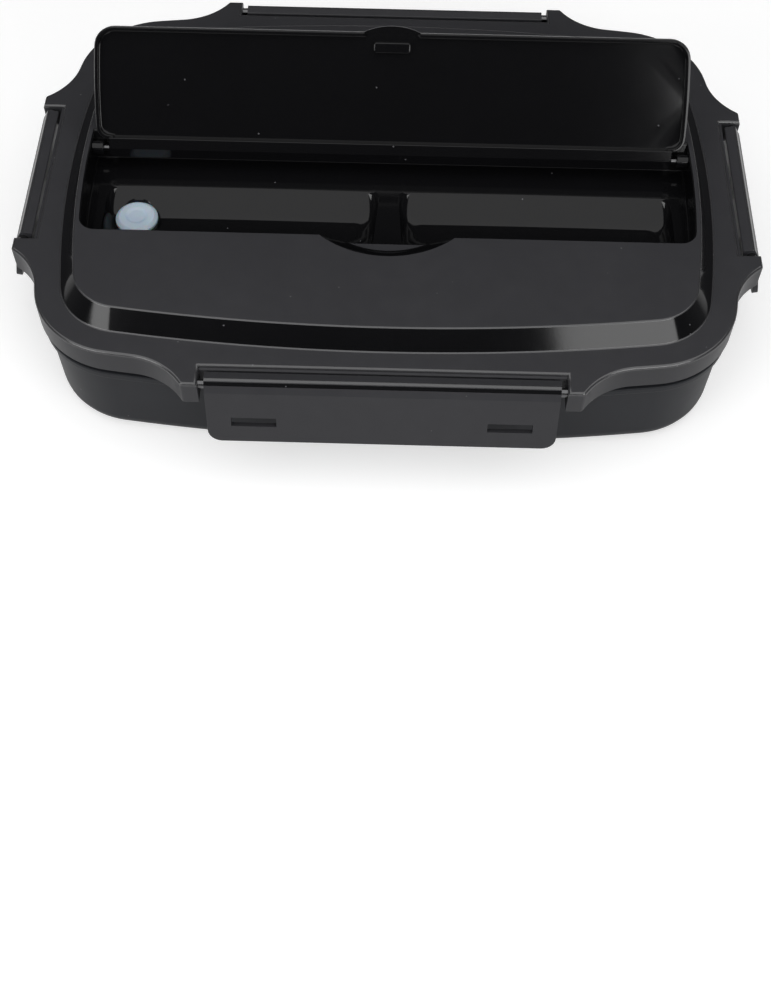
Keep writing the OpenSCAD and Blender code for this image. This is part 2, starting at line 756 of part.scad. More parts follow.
// The side view of a latch, x along its depth outwards and y up
module latch_section(i) {
    inner = latch_reach[i] + latch_slit;
    face = inner + latch_depth;
    translate([inner + latch_barrel_r, latch_pivot_z]) circle(latch_barrel_r);
    translate([inner, latch_pivot_z]) square([latch_barrel_r, latch_barrel_r - latch_brow_r]);
    translate([inner + latch_brow_r, latch_pivot_z]) square([latch_barrel_r, latch_barrel_r]);
    translate([inner + latch_brow_r, rim_z - latch_brow_r]) circle(latch_brow_r);
    translate([face - latch_plate, rim_z - latch_h]) square([latch_plate, latch_h - latch_edge_r]);
    translate([inner + latch_barrel_r, rim_z - 2 * latch_barrel_r])
        square([latch_depth - latch_barrel_r, 2 * latch_barrel_r - latch_edge_r]);
    translate([inner + latch_barrel_r, rim_z - latch_plate])
        square([latch_depth - latch_barrel_r - latch_edge_r, latch_plate]);
    translate([face - latch_edge_r, rim_z - latch_edge_r]) circle(latch_edge_r);
}

module latch_face(i) {
    half = latch_notch[i] - latch_end_gap;
    difference() {
        union() {
            translate([-half, rim_z - latch_h + latch_corner_r]) square([2 * half, latch_h]);
            translate([latch_corner_r - half, rim_z - latch_h]) square([2 * (half - latch_corner_r), latch_h]);
            for (u = [-1, 1]) translate([u * (half - latch_corner_r), rim_z - latch_h + latch_corner_r])
                circle(latch_corner_r);
        }
        for (u = [-1, 1]) translate([u * latch_window_x[i], flange_z - hook_gap + window_h / 2])
            square([window_w, window_h], center = true);
    }
}

// A hook of the latch, under the flange when the latch is shut
module latch_hooks(i) {
    inner_face = latch_reach[i] + latch_slit + latch_depth - latch_plate / 2;
    tip = latch_reach[i] - hook_in;
    top = flange_z - hook_gap;
    difference() {
        for (u = [-1, 1]) translate([u * latch_window_x[i] - window_w / 2, 0, 0]) rotate([90, 0, 90])
            linear_extrude(window_w) polygon([[-inner_face, top], [-inner_face, top - hook_root_h],
                [-tip, top - hook_h / 2], [hook_reach - tip, top - hook_h / 2], [hook_reach - tip, top]]);
        rotate([0, 0, -latch_turns[i]]) slab(0, rim_z) polygon(outline(hook_in));
    }
}

module closed_latch(i) {
    half = latch_notch[i] - latch_end_gap;
    intersection() {
        translate([-half, 0, 0]) rotate([90, 0, 90]) linear_extrude(2 * half)
            mirror([1, 0, 0]) latch_section(i);
        rotate([90, 0, 0]) linear_extrude(2 * half_length) latch_face(i);
    }
    latch_hooks(i);
}

module latch(i) {
    color([0.11, 0.11, 0.12]) difference() {
        rotate([0, 0, latch_turns[i]])
            turned_about([0, -pivot_reach(i), latch_pivot_z], [-latch_ajar, 0, 0]) closed_latch(i);
        latch_pins_at(i, latch_pin_d / 2 + run_fit, 2 * cut);
    }
}

module latch_pin(i, u) {
    color([0.75, 0.76, 0.78]) latch_pin_at(i, u, latch_pin_d / 2);
}

base_tub();
steel_tray();
lid_shell();
lid_gasket();
vent_plug();
cutlery_flap();
flap_pin(-1);  // flap_pin_left
flap_pin(1);  // flap_pin_right
latch(0);  // latch_front
latch(1);  // latch_rear
latch(2);  // latch_left
latch(3);  // latch_right
latch_pin(0, -1);  // front_latch_pin_left
latch_pin(0, 1);  // front_latch_pin_right
latch_pin(1, 1);  // rear_latch_pin_left
latch_pin(1, -1);  // rear_latch_pin_right
latch_pin(2, 1);  // left_latch_pin_front
latch_pin(2, -1);  // left_latch_pin_rear
latch_pin(3, -1);  // right_latch_pin_front
latch_pin(3, 1);  // right_latch_pin_rear
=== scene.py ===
# %% [markdown]
# # A three-compartment lunch box
# The box is a black plastic tub, a pressed steel tray that hangs in it, and a lid with a well for
# cutlery under a hinged flap. Four hinged latches hold the lid down.
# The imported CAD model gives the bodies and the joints. Here each moulding and the pressing get a finer
# mesh of the same size, and every surface gets a finish made of shader nodes.
# All sizes below are millimetres, and one factor turns them into Blender's metres.

# %% Load the frame
import math
from contextlib import contextmanager

import bmesh
import bpy
import numpy as np
from mathutils import Matrix, Vector
from mathutils.geometry import delaunay_2d_cdt


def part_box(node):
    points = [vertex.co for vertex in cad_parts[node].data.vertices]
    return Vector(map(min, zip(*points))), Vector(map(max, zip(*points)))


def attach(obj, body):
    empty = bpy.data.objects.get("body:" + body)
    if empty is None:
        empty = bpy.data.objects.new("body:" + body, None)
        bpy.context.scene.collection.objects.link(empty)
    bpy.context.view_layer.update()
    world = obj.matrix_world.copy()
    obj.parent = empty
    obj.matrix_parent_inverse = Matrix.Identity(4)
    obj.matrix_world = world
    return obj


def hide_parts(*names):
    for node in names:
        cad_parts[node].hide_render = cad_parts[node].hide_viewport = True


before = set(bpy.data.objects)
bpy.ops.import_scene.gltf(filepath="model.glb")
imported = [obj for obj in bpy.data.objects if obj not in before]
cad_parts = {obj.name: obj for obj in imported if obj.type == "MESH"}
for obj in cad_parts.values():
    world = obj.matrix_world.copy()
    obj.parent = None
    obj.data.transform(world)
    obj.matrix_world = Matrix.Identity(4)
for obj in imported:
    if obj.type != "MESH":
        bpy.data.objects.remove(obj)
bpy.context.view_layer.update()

MM = 0.001

# %% [markdown]
# ## Sizes from the frame
# The outline of the box is four bowed sides that meet in round corners. The frame gives its length,
# its width and the main heights, so that a change of the CAD model carries over to this scene.

# %% Main sizes
EAR_OUT = 6.7  # the lid's ears stand this far out from the widest point
lid_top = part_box("lid_shell")[1] / MM
tub_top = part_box("base_tub")[1] / MM
tray_low, tray_top = (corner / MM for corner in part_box("steel_tray"))

HALF_LENGTH = lid_top.x - EAR_OUT
HALF_WIDTH = lid_top.y - EAR_OUT
PLATEAU_Z = lid_top.z
RIM_Z = PLATEAU_Z - 7
SKIRT_Z = RIM_Z - 10.6
LEDGE_Z = RIM_Z - 4.8
WELL_Z = LEDGE_Z - 7.2
TUB_RIM_Z = tub_top.z
LIP_Z = tray_top.z
DECK_Z = WELL_Z - 3.5
SHORT_SIDE_R = 377
LONG_SIDE_R = 772
CORNER_R = 35
LID_SIDES = [(HALF_LENGTH - SHORT_SIDE_R, 0, SHORT_SIDE_R), (0, HALF_WIDTH - LONG_SIDE_R, LONG_SIDE_R),
             (SHORT_SIDE_R - HALF_LENGTH, 0, SHORT_SIDE_R), (0, LONG_SIDE_R - HALF_WIDTH, LONG_SIDE_R)]
print(f"half length {HALF_LENGTH:.1f}, half width {HALF_WIDTH:.1f}, rim of the lid at {RIM_Z:.1f}")

# %% [markdown]
# ## Loops
# Every moulding here is a stack of closed loops, so the helpers come first. A loop is worked out from
# circles, which keeps the sides truly bowed. Moving it in or out never changes its number of points,
# so any two loops can be joined with quads.


# %% Helpers for loops
def bearing(centre, point):
    return math.atan2(point[1] - centre[1], point[0] - centre[0])


def crossing(a, b):
    """The crossing of two circles (x, y, radius) that lies left of the line between them."""
    dx, dy = b[0] - a[0], b[1] - a[1]
    span = math.hypot(dx, dy)
    along = (a[2] ** 2 - b[2] ** 2 + span ** 2) / (2 * span)
    across = math.sqrt(a[2] ** 2 - along ** 2)
    return a[0] + (along * dx - across * dy) / span, a[1] + (along * dy + across * dx) / span


def arc(centre, r, start, end, steps, last=False):
    """Points on a circle between two angles, the shorter way round."""
    turn = (end - start + math.pi) % (2 * math.pi) - math.pi
    angles = [start + turn * i / steps for i in range(steps + last)]
    return [(centre[0] + r * math.cos(a), centre[1] + r * math.sin(a)) for a in angles]


def ring(sides, r, inset, along=28, around=16):
    """A loop of four bowed sides with round corners, anticlockwise, moved in by inset."""
    shrunk = [(x, y, radius - r) for x, y, radius in sides]
    centres = [crossing(shrunk[i], shrunk[(i + 1) % 4]) for i in range(4)]
    loop = []
    for i, side in enumerate(sides):
        before, after, following = centres[i - 1], centres[i], sides[(i + 1) % 4]
        loop += arc(side, side[2] - inset, bearing(side, before), bearing(side, after), along)
        loop += arc(after, r - inset, bearing(side, after), bearing(following, after), around)
    return loop


def lid_ring(inset):
    """The outline of the lid without its ears, moved in by inset."""
    return ring(LID_SIDES, CORNER_R, inset)


def lid_rings(section):
    """Loops round the outline, one for each (inset, height) of a section."""
    return [at(lid_ring(inset), z) for inset, z in section]


def offset(loop, distance):
    """Moves every edge of an anticlockwise loop out by distance, with mitred corners."""
    points = np.array(loop, float)
    edges = np.roll(points, -1, axis=0) - points
    edges /= np.linalg.norm(edges, axis=1)[:, None]
    out = np.stack([edges[:, 1], -edges[:, 0]], axis=1)
    before = np.roll(out, 1, axis=0)
    mitre = (out + before) / (1 + (out * before).sum(axis=1))[:, None]
    return [tuple(p) for p in points + distance * mitre]


def rounded(corners, steps=5, closed=False):
    """A line through (x, y, fillet radius) corners, with an arc at each corner that has a radius."""
    line = []
    for i, (x, y, r) in enumerate(corners):
        if r == 0 or (not closed and i in (0, len(corners) - 1)):
            line.append((x, y))
            continue
        here = Vector((x, y))
        back = (Vector(corners[i - 1][:2]) - here).normalized()
        ahead = (Vector(corners[(i + 1) % len(corners)][:2]) - here).normalized()
        half = back.angle(ahead) / 2
        centre = here + (back + ahead).normalized() * r / math.sin(half)
        start, end = here + back * r / math.tan(half), here + ahead * r / math.tan(half)
        line += arc(centre, r, bearing(centre, start), bearing(centre, end), steps, last=True)
    return line


def at(loop, z):
    return [(x, y, z) for x, y in loop]


def flat(loop):
    return [(x, y) for x, y, z in loop]


def inside(point, loop):
    """True if a point lies inside a closed loop, by counting crossings."""
    x, y = point
    hit = False
    for (x1, y1), (x2, y2) in zip(loop, loop[1:] + loop[:1]):
        if (y1 > y) != (y2 > y) and x < x1 + (y - y1) * (x2 - x1) / (y2 - y1):
            hit = not hit
    return hit


# %% [markdown]
# ## From loops to objects
# A moulding is collected face by face: walls between loops, and flat caps that may have holes. A cap is
# filled by a Delaunay triangulation, which takes any outline. Then the doubles are merged, the normals
# are turned outwards and the Weighted Normal modifier keeps the flat faces flat beside small fillets.


# %% Helpers for meshes
MERGE = 0.004 * MM
CREASE = math.radians(38)


class Moulding:
    """Collects the points, faces and finishes of one piece, in millimetres."""

    def __init__(self):
        self.points, self.faces, self.finishes = [], [], []

    def wall(self, loops, finish=0, closed=False):
        """Quads between loops of equal length. Closed joins the last loop to the first."""
        start, n, m = len(self.points), len(loops[0]), len(loops)
        for loop in loops:
            self.points += loop
        for i in range(m if closed else m - 1):
            for j in range(n):
                a, b = start + i * n, start + (i + 1) % m * n
                k = (j + 1) % n
                self.faces.append((a + j, a + k, b + k, b + j))
                self.finishes.append(finish)

    def cap(self, loop, z, holes=(), finish=0):
        """A flat face at height z inside a loop, less its holes."""
        corners, edges = [], []
        for one in (loop, *holes):
            first, n = len(corners), len(one)
            edges += [(first + i, first + (i + 1) % n) for i in range(n)]
            corners += [Vector(p) for p in one]
        points, _, faces, *_ = delaunay_2d_cdt(corners, edges, [], 0, 1e-7)
        start = len(self.points)
        self.points += [(p.x, p.y, z) for p in points]
        for face in faces:
            middle = sum((points[i] for i in face), Vector((0, 0))) / len(face)
            if inside(middle, loop) and not any(inside(middle, hole) for hole in holes):
                self.faces.append(tuple(start + i for i in face))
                self.finishes.append(finish)

    def lid_of(self, loop, finish=0):
        """One flat face that closes the end of a wall."""
        start = len(self.points)
        self.points += loop
        self.faces.append(tuple(range(start, start + len(loop))))
        self.finishes.append(finish)

    def prism(self, loops, finish=0):
        """A wall through loops, with both ends closed."""
        self.wall(loops, finish)
        self.lid_of(loops[0], finish)
        self.lid_of(loops[-1], finish)

    def tube(self, centre, axis, profile, sides=48, finish=0):
        """A turned solid: the profile gives (radius, distance along the axis) from end to end."""
        axis = Vector(axis).normalized()
        across = axis.orthogonal().normalized()
        other = axis.cross(across)
        turns = [2 * math.pi * i / sides for i in range(sides)]
        loops = []
        for r, along in profile:
            middle = Vector(centre) + axis * along
            loops.append([tuple(middle + r * (across * math.cos(t) + other * math.sin(t))) for t in turns])
        self.prism(loops, finish)

    def moved(self, matrix):
        self.points = [tuple(matrix @ Vector(p)) for p in self.points]


@contextmanager
def editing(mesh):
    """A mesh as a bmesh, which is written back when the block ends."""
    bm = bmesh.new()
    bm.from_mesh(mesh)
    yield bm
    bm.to_mesh(mesh)
    bm.free()


def tidy_mesh(mesh):
    """Merges doubles, turns the faces outwards and smooths all but the sharp edges."""
    with editing(mesh) as bm:
        bmesh.ops.remove_doubles(bm, verts=bm.verts, dist=MERGE)
        bmesh.ops.dissolve_degenerate(bm, dist=MERGE / 2, edges=bm.edges)
        bmesh.ops.recalc_face_normals(bm, faces=bm.faces)
        open_edges = sum(1 for e in bm.edges if len(e.link_faces) != 2)
    mesh.shade_smooth()
    mesh.set_sharp_from_angle(angle=CREASE)
    return open_edges


def new_object(name, points, faces, edges=(), finishes=None):
    """A Blender object, at the origin, from points in millimetres."""
    mesh = bpy.data.meshes.new(name)
    mesh.from_pydata([Vector(p) * MM for p in points], edges, faces)
    if finishes:
        mesh.polygons.foreach_set("material_index", finishes)
    piece = bpy.data.objects.new(name, mesh)
    bpy.context.scene.collection.objects.link(piece)
    return piece


def weigh_normals(piece):
    weighted = piece.modifiers.new("weighted normals", "WEIGHTED_NORMAL")
    weighted.keep_sharp = True


def finish_piece(piece):
    """Tidies a piece's mesh, weighs its normals and prints what it has."""
    open_edges = tidy_mesh(piece.data)
    weigh_normals(piece)
    print(f"{piece.name}: {len(piece.data.polygons)} faces, {open_edges} open edges")
    return piece


def make_piece(name, moulding, finishes):
    """One piece from what a moulding has collected."""
    piece = new_object(name, moulding.points, moulding.faces, finishes=moulding.finishes)
    for finish in finishes:
        piece.data.materials.append(finish)
    return finish_piece(piece)


def turn_about(point, degrees):
    """A turn about the line along X through a point."""
    there = Matrix.Translation(point)
    return there @ Matrix.Rotation(math.radians(degrees), 4, "X") @ there.inverted()


def stands_for(piece, body, slot, *nodes):
    """The piece moves with a body and takes the place of CAD nodes."""
    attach(piece, body)
    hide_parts(*nodes)


# %% [markdown]
# ## Shared effects
# Moulded plastic, pressed steel and silicone all have fine unevenness, and everything carries a little
# dust. Each effect is a shader node group that is built once. It puts out a mask or a height, and each
# material decides how strongly it uses it. Patterns read Object coordinates, so they keep their real
# scale in metres and never slide.


# %% Helpers for node trees
def new_tree(name, kind, inputs, output):
    """A node tree with its inputs' and its output's sockets.

    Inputs are {label: default number or kind of socket}, and output is (label, kind).
    """
    tree = bpy.data.node_groups.new(name, kind)
    for label, value in inputs.items():
        given = isinstance(value, float)
        socket_type = "NodeSocket" + ("Float" if given else value)
        socket = tree.interface.new_socket(label, in_out="INPUT", socket_type=socket_type)
        if given:
            socket.default_value = value
    tree.interface.new_socket(output[0], in_out="OUTPUT", socket_type="NodeSocket" + output[1])
    return tree, tree.nodes.new("NodeGroupInput").outputs, tree.nodes.new("NodeGroupOutput").inputs[0]


def add(tree, kind, inputs=None, output=0, **settings):
    """Adds a node, whose inputs are values or sockets to link, and returns one of its outputs."""
    node = tree.nodes.new(kind)
    for label, value in settings.items():
        setattr(node, label, value)
    for label, value in (inputs or {}).items():
        if isinstance(value, bpy.types.NodeSocket):
            tree.links.new(value, node.inputs[label])
        else:
            node.inputs[label].default_value = value
    return node.outputs[output]


def maths(tree, operation, a, b):
    return add(tree, "ShaderNodeMath", {0: a, 1: b}, operation=operation)


# %% Grain, dust and rubbed patches
def two_noises(tree, given, details):
    """Two noises in Object coordinates, from {label of the scale: detail}."""
    place = add(tree, "ShaderNodeTexCoord", output="Object")
    return (add(tree, "ShaderNodeTexNoise", {"Vector": place, "Scale": given[label], "Detail": detail})
            for label, detail in details.items())


def grain_effect():
    """Fine spark-eroded grain over broad sink marks, as a height from 0 to 1."""
    inputs = {"Grain scale": 2600.0, "Sink scale": 28.0, "Sink share": 0.3}
    tree, given, end = new_tree("moulded grain", "ShaderNodeTree", inputs, ("Height", "Float"))
    grain, sink = two_noises(tree, given, {"Grain scale": 3.0, "Sink scale": 1.0})
    tree.links.new(add(tree, "ShaderNodeMix", {0: given["Sink share"], 2: grain, 3: sink}), end)
    return tree


def dust_effect():
    """Sparse specks of dust and lint, as a mask from 0 to 1."""
    inputs = {"Speck scale": 170.0, "Speck size": 0.055, "Share": 0.35}
    tree, given, end = new_tree("dust specks", "ShaderNodeTree", inputs, ("Mask", "Float"))
    place = add(tree, "ShaderNodeTexCoord", output="Object")
    cells = add(tree, "ShaderNodeTexVoronoi", {"Vector": place, "Scale": given["Speck scale"]}, "Distance")
    chosen = add(tree, "ShaderNodeSeparateColor", {0: cells.node.outputs["Color"]})
    speck = maths(tree, "LESS_THAN", cells, given["Speck size"])
    kept = maths(tree, "LESS_THAN", chosen, given["Share"])
    tree.links.new(maths(tree, "MULTIPLY", speck, kept), end)
    return tree


def rub_effect():
    """Soft patches where handling has polished or dulled a surface, as a mask from 0 to 1."""
    inputs = {"Patch scale": 22.0, "Streak scale": 160.0}
    tree, given, end = new_tree("rubbed patches", "ShaderNodeTree", inputs, ("Mask", "Float"))
    patches, streaks = two_noises(tree, given, {"Patch scale": 2.0, "Streak scale": 4.0})
    tree.links.new(maths(tree, "MULTIPLY", patches, streaks), end)
    return tree


GRAIN, DUST, RUB = grain_effect(), dust_effect(), rub_effect()
print("effects:", [group.name for group in (GRAIN, DUST, RUB)])

# %% [markdown]
# ## Finishes
# All the plastic is one black polypropylene, but the mould gives it several faces: satin where the steel
# was textured, polished on the slope round the plateau, in the recess and inside the flap, and burnished
# on the edges that hands and cloths rub. The finishes share one function and differ in colour, roughness
# and grain. Steel and silicone use the same function with other values.


# %% Helpers for finishes
def effect(tree, group, values):
    return add(tree, "ShaderNodeGroup", values, node_tree=group)


def blend(tree, mask, low, high):
    """A colour that goes from low to high where the mask does. Both are colours or sockets."""
    low, high = ((*value, 1) if isinstance(value, tuple) else value for value in (low, high))
    return add(tree, "ShaderNodeMix", {0: mask, 6: low, 7: high}, 2, data_type="RGBA")


def new_material(name, values):
    """A new material, its node tree and the inputs of its shader, some of them set."""
    material = bpy.data.materials.new(name)
    material.use_nodes = True
    sockets = material.node_tree.nodes["Principled BSDF"].inputs
    for label, value in values.items():
        sockets[label].default_value = value
    return material, material.node_tree, sockets


def make_finish(name, colour, worn, roughness, grain, depth, rub=None, dust=None, values=None):
    """A material with grain as bump, whose colour and roughness change where it is rubbed.

    Worn is a factor on the colour, and roughness is a pair. Grain, rub and dust hold inputs of the
    effects, dust with its own colour, and values sets the shader's other inputs.
    """
    material, tree, sockets = new_material(name, values or {})
    mask = effect(tree, RUB, rub or {})
    base = blend(tree, mask, colour, tuple(worn * c for c in colour))
    if dust:
        base = blend(tree, effect(tree, DUST, dust[0]), base, dust[1])
    height = effect(tree, GRAIN, grain)
    rough = add(tree, "ShaderNodeMapRange", {"Value": mask, "To Min": roughness[0], "To Max": roughness[1]})
    bump = add(tree, "ShaderNodeBump", {"Strength": 1.0, "Distance": depth, "Height": height})
    for label, socket in (("Base Color", base), ("Roughness", rough), ("Normal", bump)):
        tree.links.new(socket, sockets[label])
    return material


# %% Black plastic
def black_plastic(name, colour, roughness, grain_scale, grain_depth, mirror):
    """Polypropylene with moulded grain, rubbed patches and a few specks of dust."""
    return make_finish(name, colour, 1.35, (roughness * 0.85, roughness * 1.3), {"Grain scale": grain_scale},
                       grain_depth, dust=({"Share": 0.25}, (0.10, 0.10, 0.105)),
                       values={"Specular IOR Level": mirror})


SATIN = black_plastic("satin black plastic", (0.031, 0.031, 0.034), 0.38, 2600, 0.000012, 0.22)
POLISHED = black_plastic("polished black plastic", (0.004, 0.004, 0.0045), 0.10, 900, 0.000003, 0.28)
BURNISHED = black_plastic("burnished black plastic", (0.03, 0.03, 0.032), 0.22, 900, 0.000002, 0.9)
TUB_BLACK = black_plastic("tub black plastic", (0.019, 0.020, 0.023), 0.42, 2400, 0.000012, 0.15)


# %% Steel
def pressed_steel(name, tint, roughness, grain_depth):
    """Stainless sheet: metal with fine drawn grain and soft waves left by the press."""
    return make_finish(name, tint, 1.05, (roughness * 0.75, roughness * 1.35),
                       {"Grain scale": 1900, "Sink scale": 55, "Sink share": 0.55}, grain_depth,
                       rub={"Patch scale": 30, "Streak scale": 260}, values={"Metallic": 1.0})


TRAY_STEEL = pressed_steel("pressed steel", (0.74, 0.74, 0.735), 0.30, 0.00003)
# Painted shade: the pins' tint is far darker than bare steel, so they mirror little of the pale floor and stay
# dark round their glints.
PIN_STEEL_WITH_PAINTED_SHADE = pressed_steel("pin steel", (0.12, 0.12, 0.123), 0.22, 0.000006)


# %% Silicone
def silicone(name, colour, through, roughness):
    """Soft rubber that light enters a little, with a faint bloom of dust."""
    return make_finish(name, colour, 0.85, (roughness, roughness * 1.4), {"Grain scale": 1500}, 0.00001,
                       rub={"Patch scale": 60}, dust=({"Speck scale": 420, "Share": 0.25}, (0.5, 0.5, 0.5)),
                       values={"Subsurface Weight": through, "Subsurface Scale": 0.002})


SEAL_SILICONE = silicone("seal silicone", (0.42, 0.43, 0.45), 0.3, 0.5)
PLUG_SILICONE = silicone("plug silicone", (0.52, 0.62, 0.72), 0.5, 0.35)
print("finishes:", [finish.name for finish in (SATIN, POLISHED, BURNISHED, TUB_BLACK, TRAY_STEEL, PIN_STEEL_WITH_PAINTED_SHADE,
                                               SEAL_SILICONE, PLUG_SILICONE)])

# %% [markdown]
# ## A section swept round the outline
# The tub's wall and the seal have the same section all the way round. On the real parts a cutter or a
# mould follows the outline, and here a Geometry Nodes tree does: it takes a mesh that holds two lines,
# the outline and the section, and sweeps one along the other. The section is drawn as distance in from
# the outline and height, and the tree's inputs move it.


# %% Sweep tree
def coat(tree, geometry, finish, end):
    """Ends a Geometry Nodes tree: copies become one mesh, and it gets a finish."""
    whole = add(tree, "GeometryNodeRealizeInstances", {"Geometry": geometry})
    tree.links.new(add(tree, "GeometryNodeSetMaterial", {"Geometry": whole, "Material": finish}), end)


def sweep_tree():
    """Sweeps the lines marked as the section round the others."""
    inputs = {"Geometry": "Geometry", "Move in": "Float", "Raise": "Float", "Finish": "Material"}
    tree, given, end = new_tree("section round an outline", "GeometryNodeTree", inputs, ("Geometry", "Geometry"))
    mark = add(tree, "GeometryNodeInputNamedAttribute", {"Name": "section"}, "Attribute", data_type="BOOLEAN")
    parted = add(tree, "GeometryNodeSeparateGeometry", {"Geometry": given["Geometry"], "Selection": mark},
                 "Selection")
    section = add(tree, "GeometryNodeMeshToCurve", {"Mesh": parted})
    path = add(tree, "GeometryNodeMeshToCurve", {"Mesh": parted.node.outputs["Inverted"]})
    upright = add(tree, "GeometryNodeSetCurveNormal", {"Curve": path}, mode="Z_UP")
    shift = add(tree, "ShaderNodeCombineXYZ", {"X": maths(tree, "MULTIPLY", given["Move in"], -1),
                                               "Y": maths(tree, "MULTIPLY", given["Raise"], -1)})
    moved = add(tree, "GeometryNodeTransform", {"Geometry": section, "Translation": shift})
    swept = add(tree, "GeometryNodeCurveToMesh", {"Curve": upright, "Profile Curve": moved})
    coat(tree, swept, given["Finish"], end)
    return tree


SWEEP = sweep_tree()


# %% Helpers for trees
def run_tree(piece, tree, **values):
    """Runs a Geometry Nodes tree on a piece and keeps the result as a plain mesh."""
    modifier = piece.modifiers.new("tree", "NODES")
    modifier.node_group = tree
    for item in tree.interface.items_tree:
        key = item.name.replace(" ", "_")
        if item.in_out == "INPUT" and key in values:
            modifier[item.identifier] = values[key]
    evaluated = piece.evaluated_get(bpy.context.evaluated_depsgraph_get())
    mesh = bpy.data.meshes.new_from_object(evaluated)
    piece.modifiers.remove(modifier)
    old = piece.data
    piece.data = mesh
    bpy.data.meshes.remove(old)
    mesh.name = piece.name


def swept_piece(name, outline, section, finish, closed, move_in=0.0, lift=0.0):
    """A section of (distance in, height) swept round an outline. An open section's ends are filled."""
    points = [(x, y, 0) for x, y in outline] + [(-inset, -z, 0) for inset, z in section]
    n, m = len(outline), len(section)
    edges = [(i, (i + 1) % n) for i in range(n)] + [(n + i, n + i + 1) for i in range(m - 1)]
    if closed:
        edges.append((n + m - 1, n))
    piece = new_object(name, points, [], edges)
    mark = piece.data.attributes.new("section", "BOOLEAN", "POINT")
    mark.data.foreach_set("value", [False] * n + [True] * m)
    run_tree(piece, SWEEP, Move_in=move_in * MM, Raise=lift * MM, Finish=finish)
    with editing(piece.data) as bm:
        rims = [e for e in bm.edges if len(e.link_faces) == 1]
        bmesh.ops.holes_fill(bm, edges=rims, sides=0)
    return finish_piece(piece)


# %% [markdown]
# ## The tub
# The tub is a plain black bowl. It stands on a ring round its hollow underside, its wall leans in a
# little towards a round bottom edge, and near the top it has a flange that the latches hook under. Its
# section is one open line from the hollow underside, over the flange and the rim, to the floor inside.

# %% Tub
TUB_WALL_IN = 2.2
FLANGE_IN = 0.7
FLANGE_Z = SKIRT_Z - 5.9
FLANGE_TOP = SKIRT_Z - 2.9
TUB_RIM_IN = 2.5
TUB_RIM_W = 4.6
TUB_FLOOR_Z = 3.0

tub_section = rounded([
    (17.5, 0.8, 0), (16.9, 0.8, 0.3), (15.9, 0, 0.3), (2.9, 0, 8), (TUB_WALL_IN, FLANGE_Z, 0.4),
    (FLANGE_IN, FLANGE_Z, 0.6), (FLANGE_IN, FLANGE_TOP, 0.6), (TUB_RIM_IN, FLANGE_TOP, 0.4),
    (TUB_RIM_IN, TUB_RIM_Z, 0.5), (TUB_RIM_IN + TUB_RIM_W, TUB_RIM_Z, 0.5),
    (TUB_RIM_IN + TUB_RIM_W, TUB_RIM_Z - 1.5, 0.3), (5, FLANGE_Z, 0.6), (5.4, TUB_FLOOR_Z, 5.6),
    (17.5, TUB_FLOOR_Z, 0)], steps=6)
tub = swept_piece("tub", lid_ring(0), tub_section, TUB_BLACK, closed=False)
stands_for(tub, "tub", "tub_plastic", "base_tub")

# %% [markdown]
# ## The tray
# The tray is one sheet of stainless steel, 0.8 mm thick. Its edge is rolled into a lip that rests on the
# tub's rim, a short wall leads down to a flat deck, and three bowls with soft edges are drawn out of the
# deck. The upper face is modelled and a Solidify modifier gives the sheet its thickness.

# %% Sides of the compartments
LIP_IN = TUB_RIM_IN + 3.4
STEP_IN = LIP_IN + 2.8
DECK_IN = STEP_IN + 2
SIDE_MARGIN = 13.4
END_MARGIN = 15.8
DIVIDER_X = 17
DIVIDER_Y = 1.2
DIVIDER_W = 7.6
BOWL_R = 20
STRAIGHT_R = 4000
TRAY_FLOOR_Z = tray_low.z + 0.8
SHEET = 0.8

rear_side = (0, HALF_WIDTH - LONG_SIDE_R, LONG_SIDE_R - SIDE_MARGIN)
front_side = (0, LONG_SIDE_R - HALF_WIDTH, LONG_SIDE_R - SIDE_MARGIN)
left_side = (SHORT_SIDE_R - HALF_LENGTH, 0, SHORT_SIDE_R - END_MARGIN)
right_side = (HALF_LENGTH - SHORT_SIDE_R, 0, SHORT_SIDE_R - END_MARGIN)
left_of_divider = (DIVIDER_X - DIVIDER_W / 2 - STRAIGHT_R, 0, STRAIGHT_R)
right_of_divider = (DIVIDER_X + DIVIDER_W / 2 + STRAIGHT_R, 0, STRAIGHT_R)
behind_divider = (0, DIVIDER_Y + DIVIDER_W / 2 + STRAIGHT_R, STRAIGHT_R)
before_divider = (0, DIVIDER_Y - DIVIDER_W / 2 - STRAIGHT_R, STRAIGHT_R)
compartments = [(left_of_divider, rear_side, left_side, behind_divider),
                (left_of_divider, before_divider, left_side, front_side),
                (right_side, rear_side, right_of_divider, front_side)]


# %% Tray
def tray_pressing():
    tray = Moulding()
    lip = rounded([
        (LIP_IN + 0.1, TUB_RIM_Z + 0.1, 0), (LIP_IN, LIP_Z, 0.7), (STEP_IN, LIP_Z, 0.9),
        (DECK_IN, DECK_Z, 1.2), (DECK_IN + 2, DECK_Z, 0)], steps=6)
    tray.wall(lid_rings(lip))
    bowl = rounded([
        (-0.6, DECK_Z, 0), (1.1, DECK_Z, 1.6), (3.9, TRAY_FLOOR_Z + 15.5, 9), (7.4, TRAY_FLOOR_Z + 3.4, 8),
        (15, TRAY_FLOOR_Z, 14), (19, TRAY_FLOOR_Z, 0)], steps=8)
    edges = []
    for sides in compartments:
        tray.wall([at(ring(sides, BOWL_R, inset, 16, 12), z) for inset, z in bowl])
        tray.cap(ring(sides, BOWL_R, bowl[-1][0], 16, 12), TRAY_FLOOR_Z)
        edges.append(ring(sides, BOWL_R, bowl[0][0], 16, 12))
    tray.cap(lid_ring(lip[-1][0]), DECK_Z, edges)
    return tray


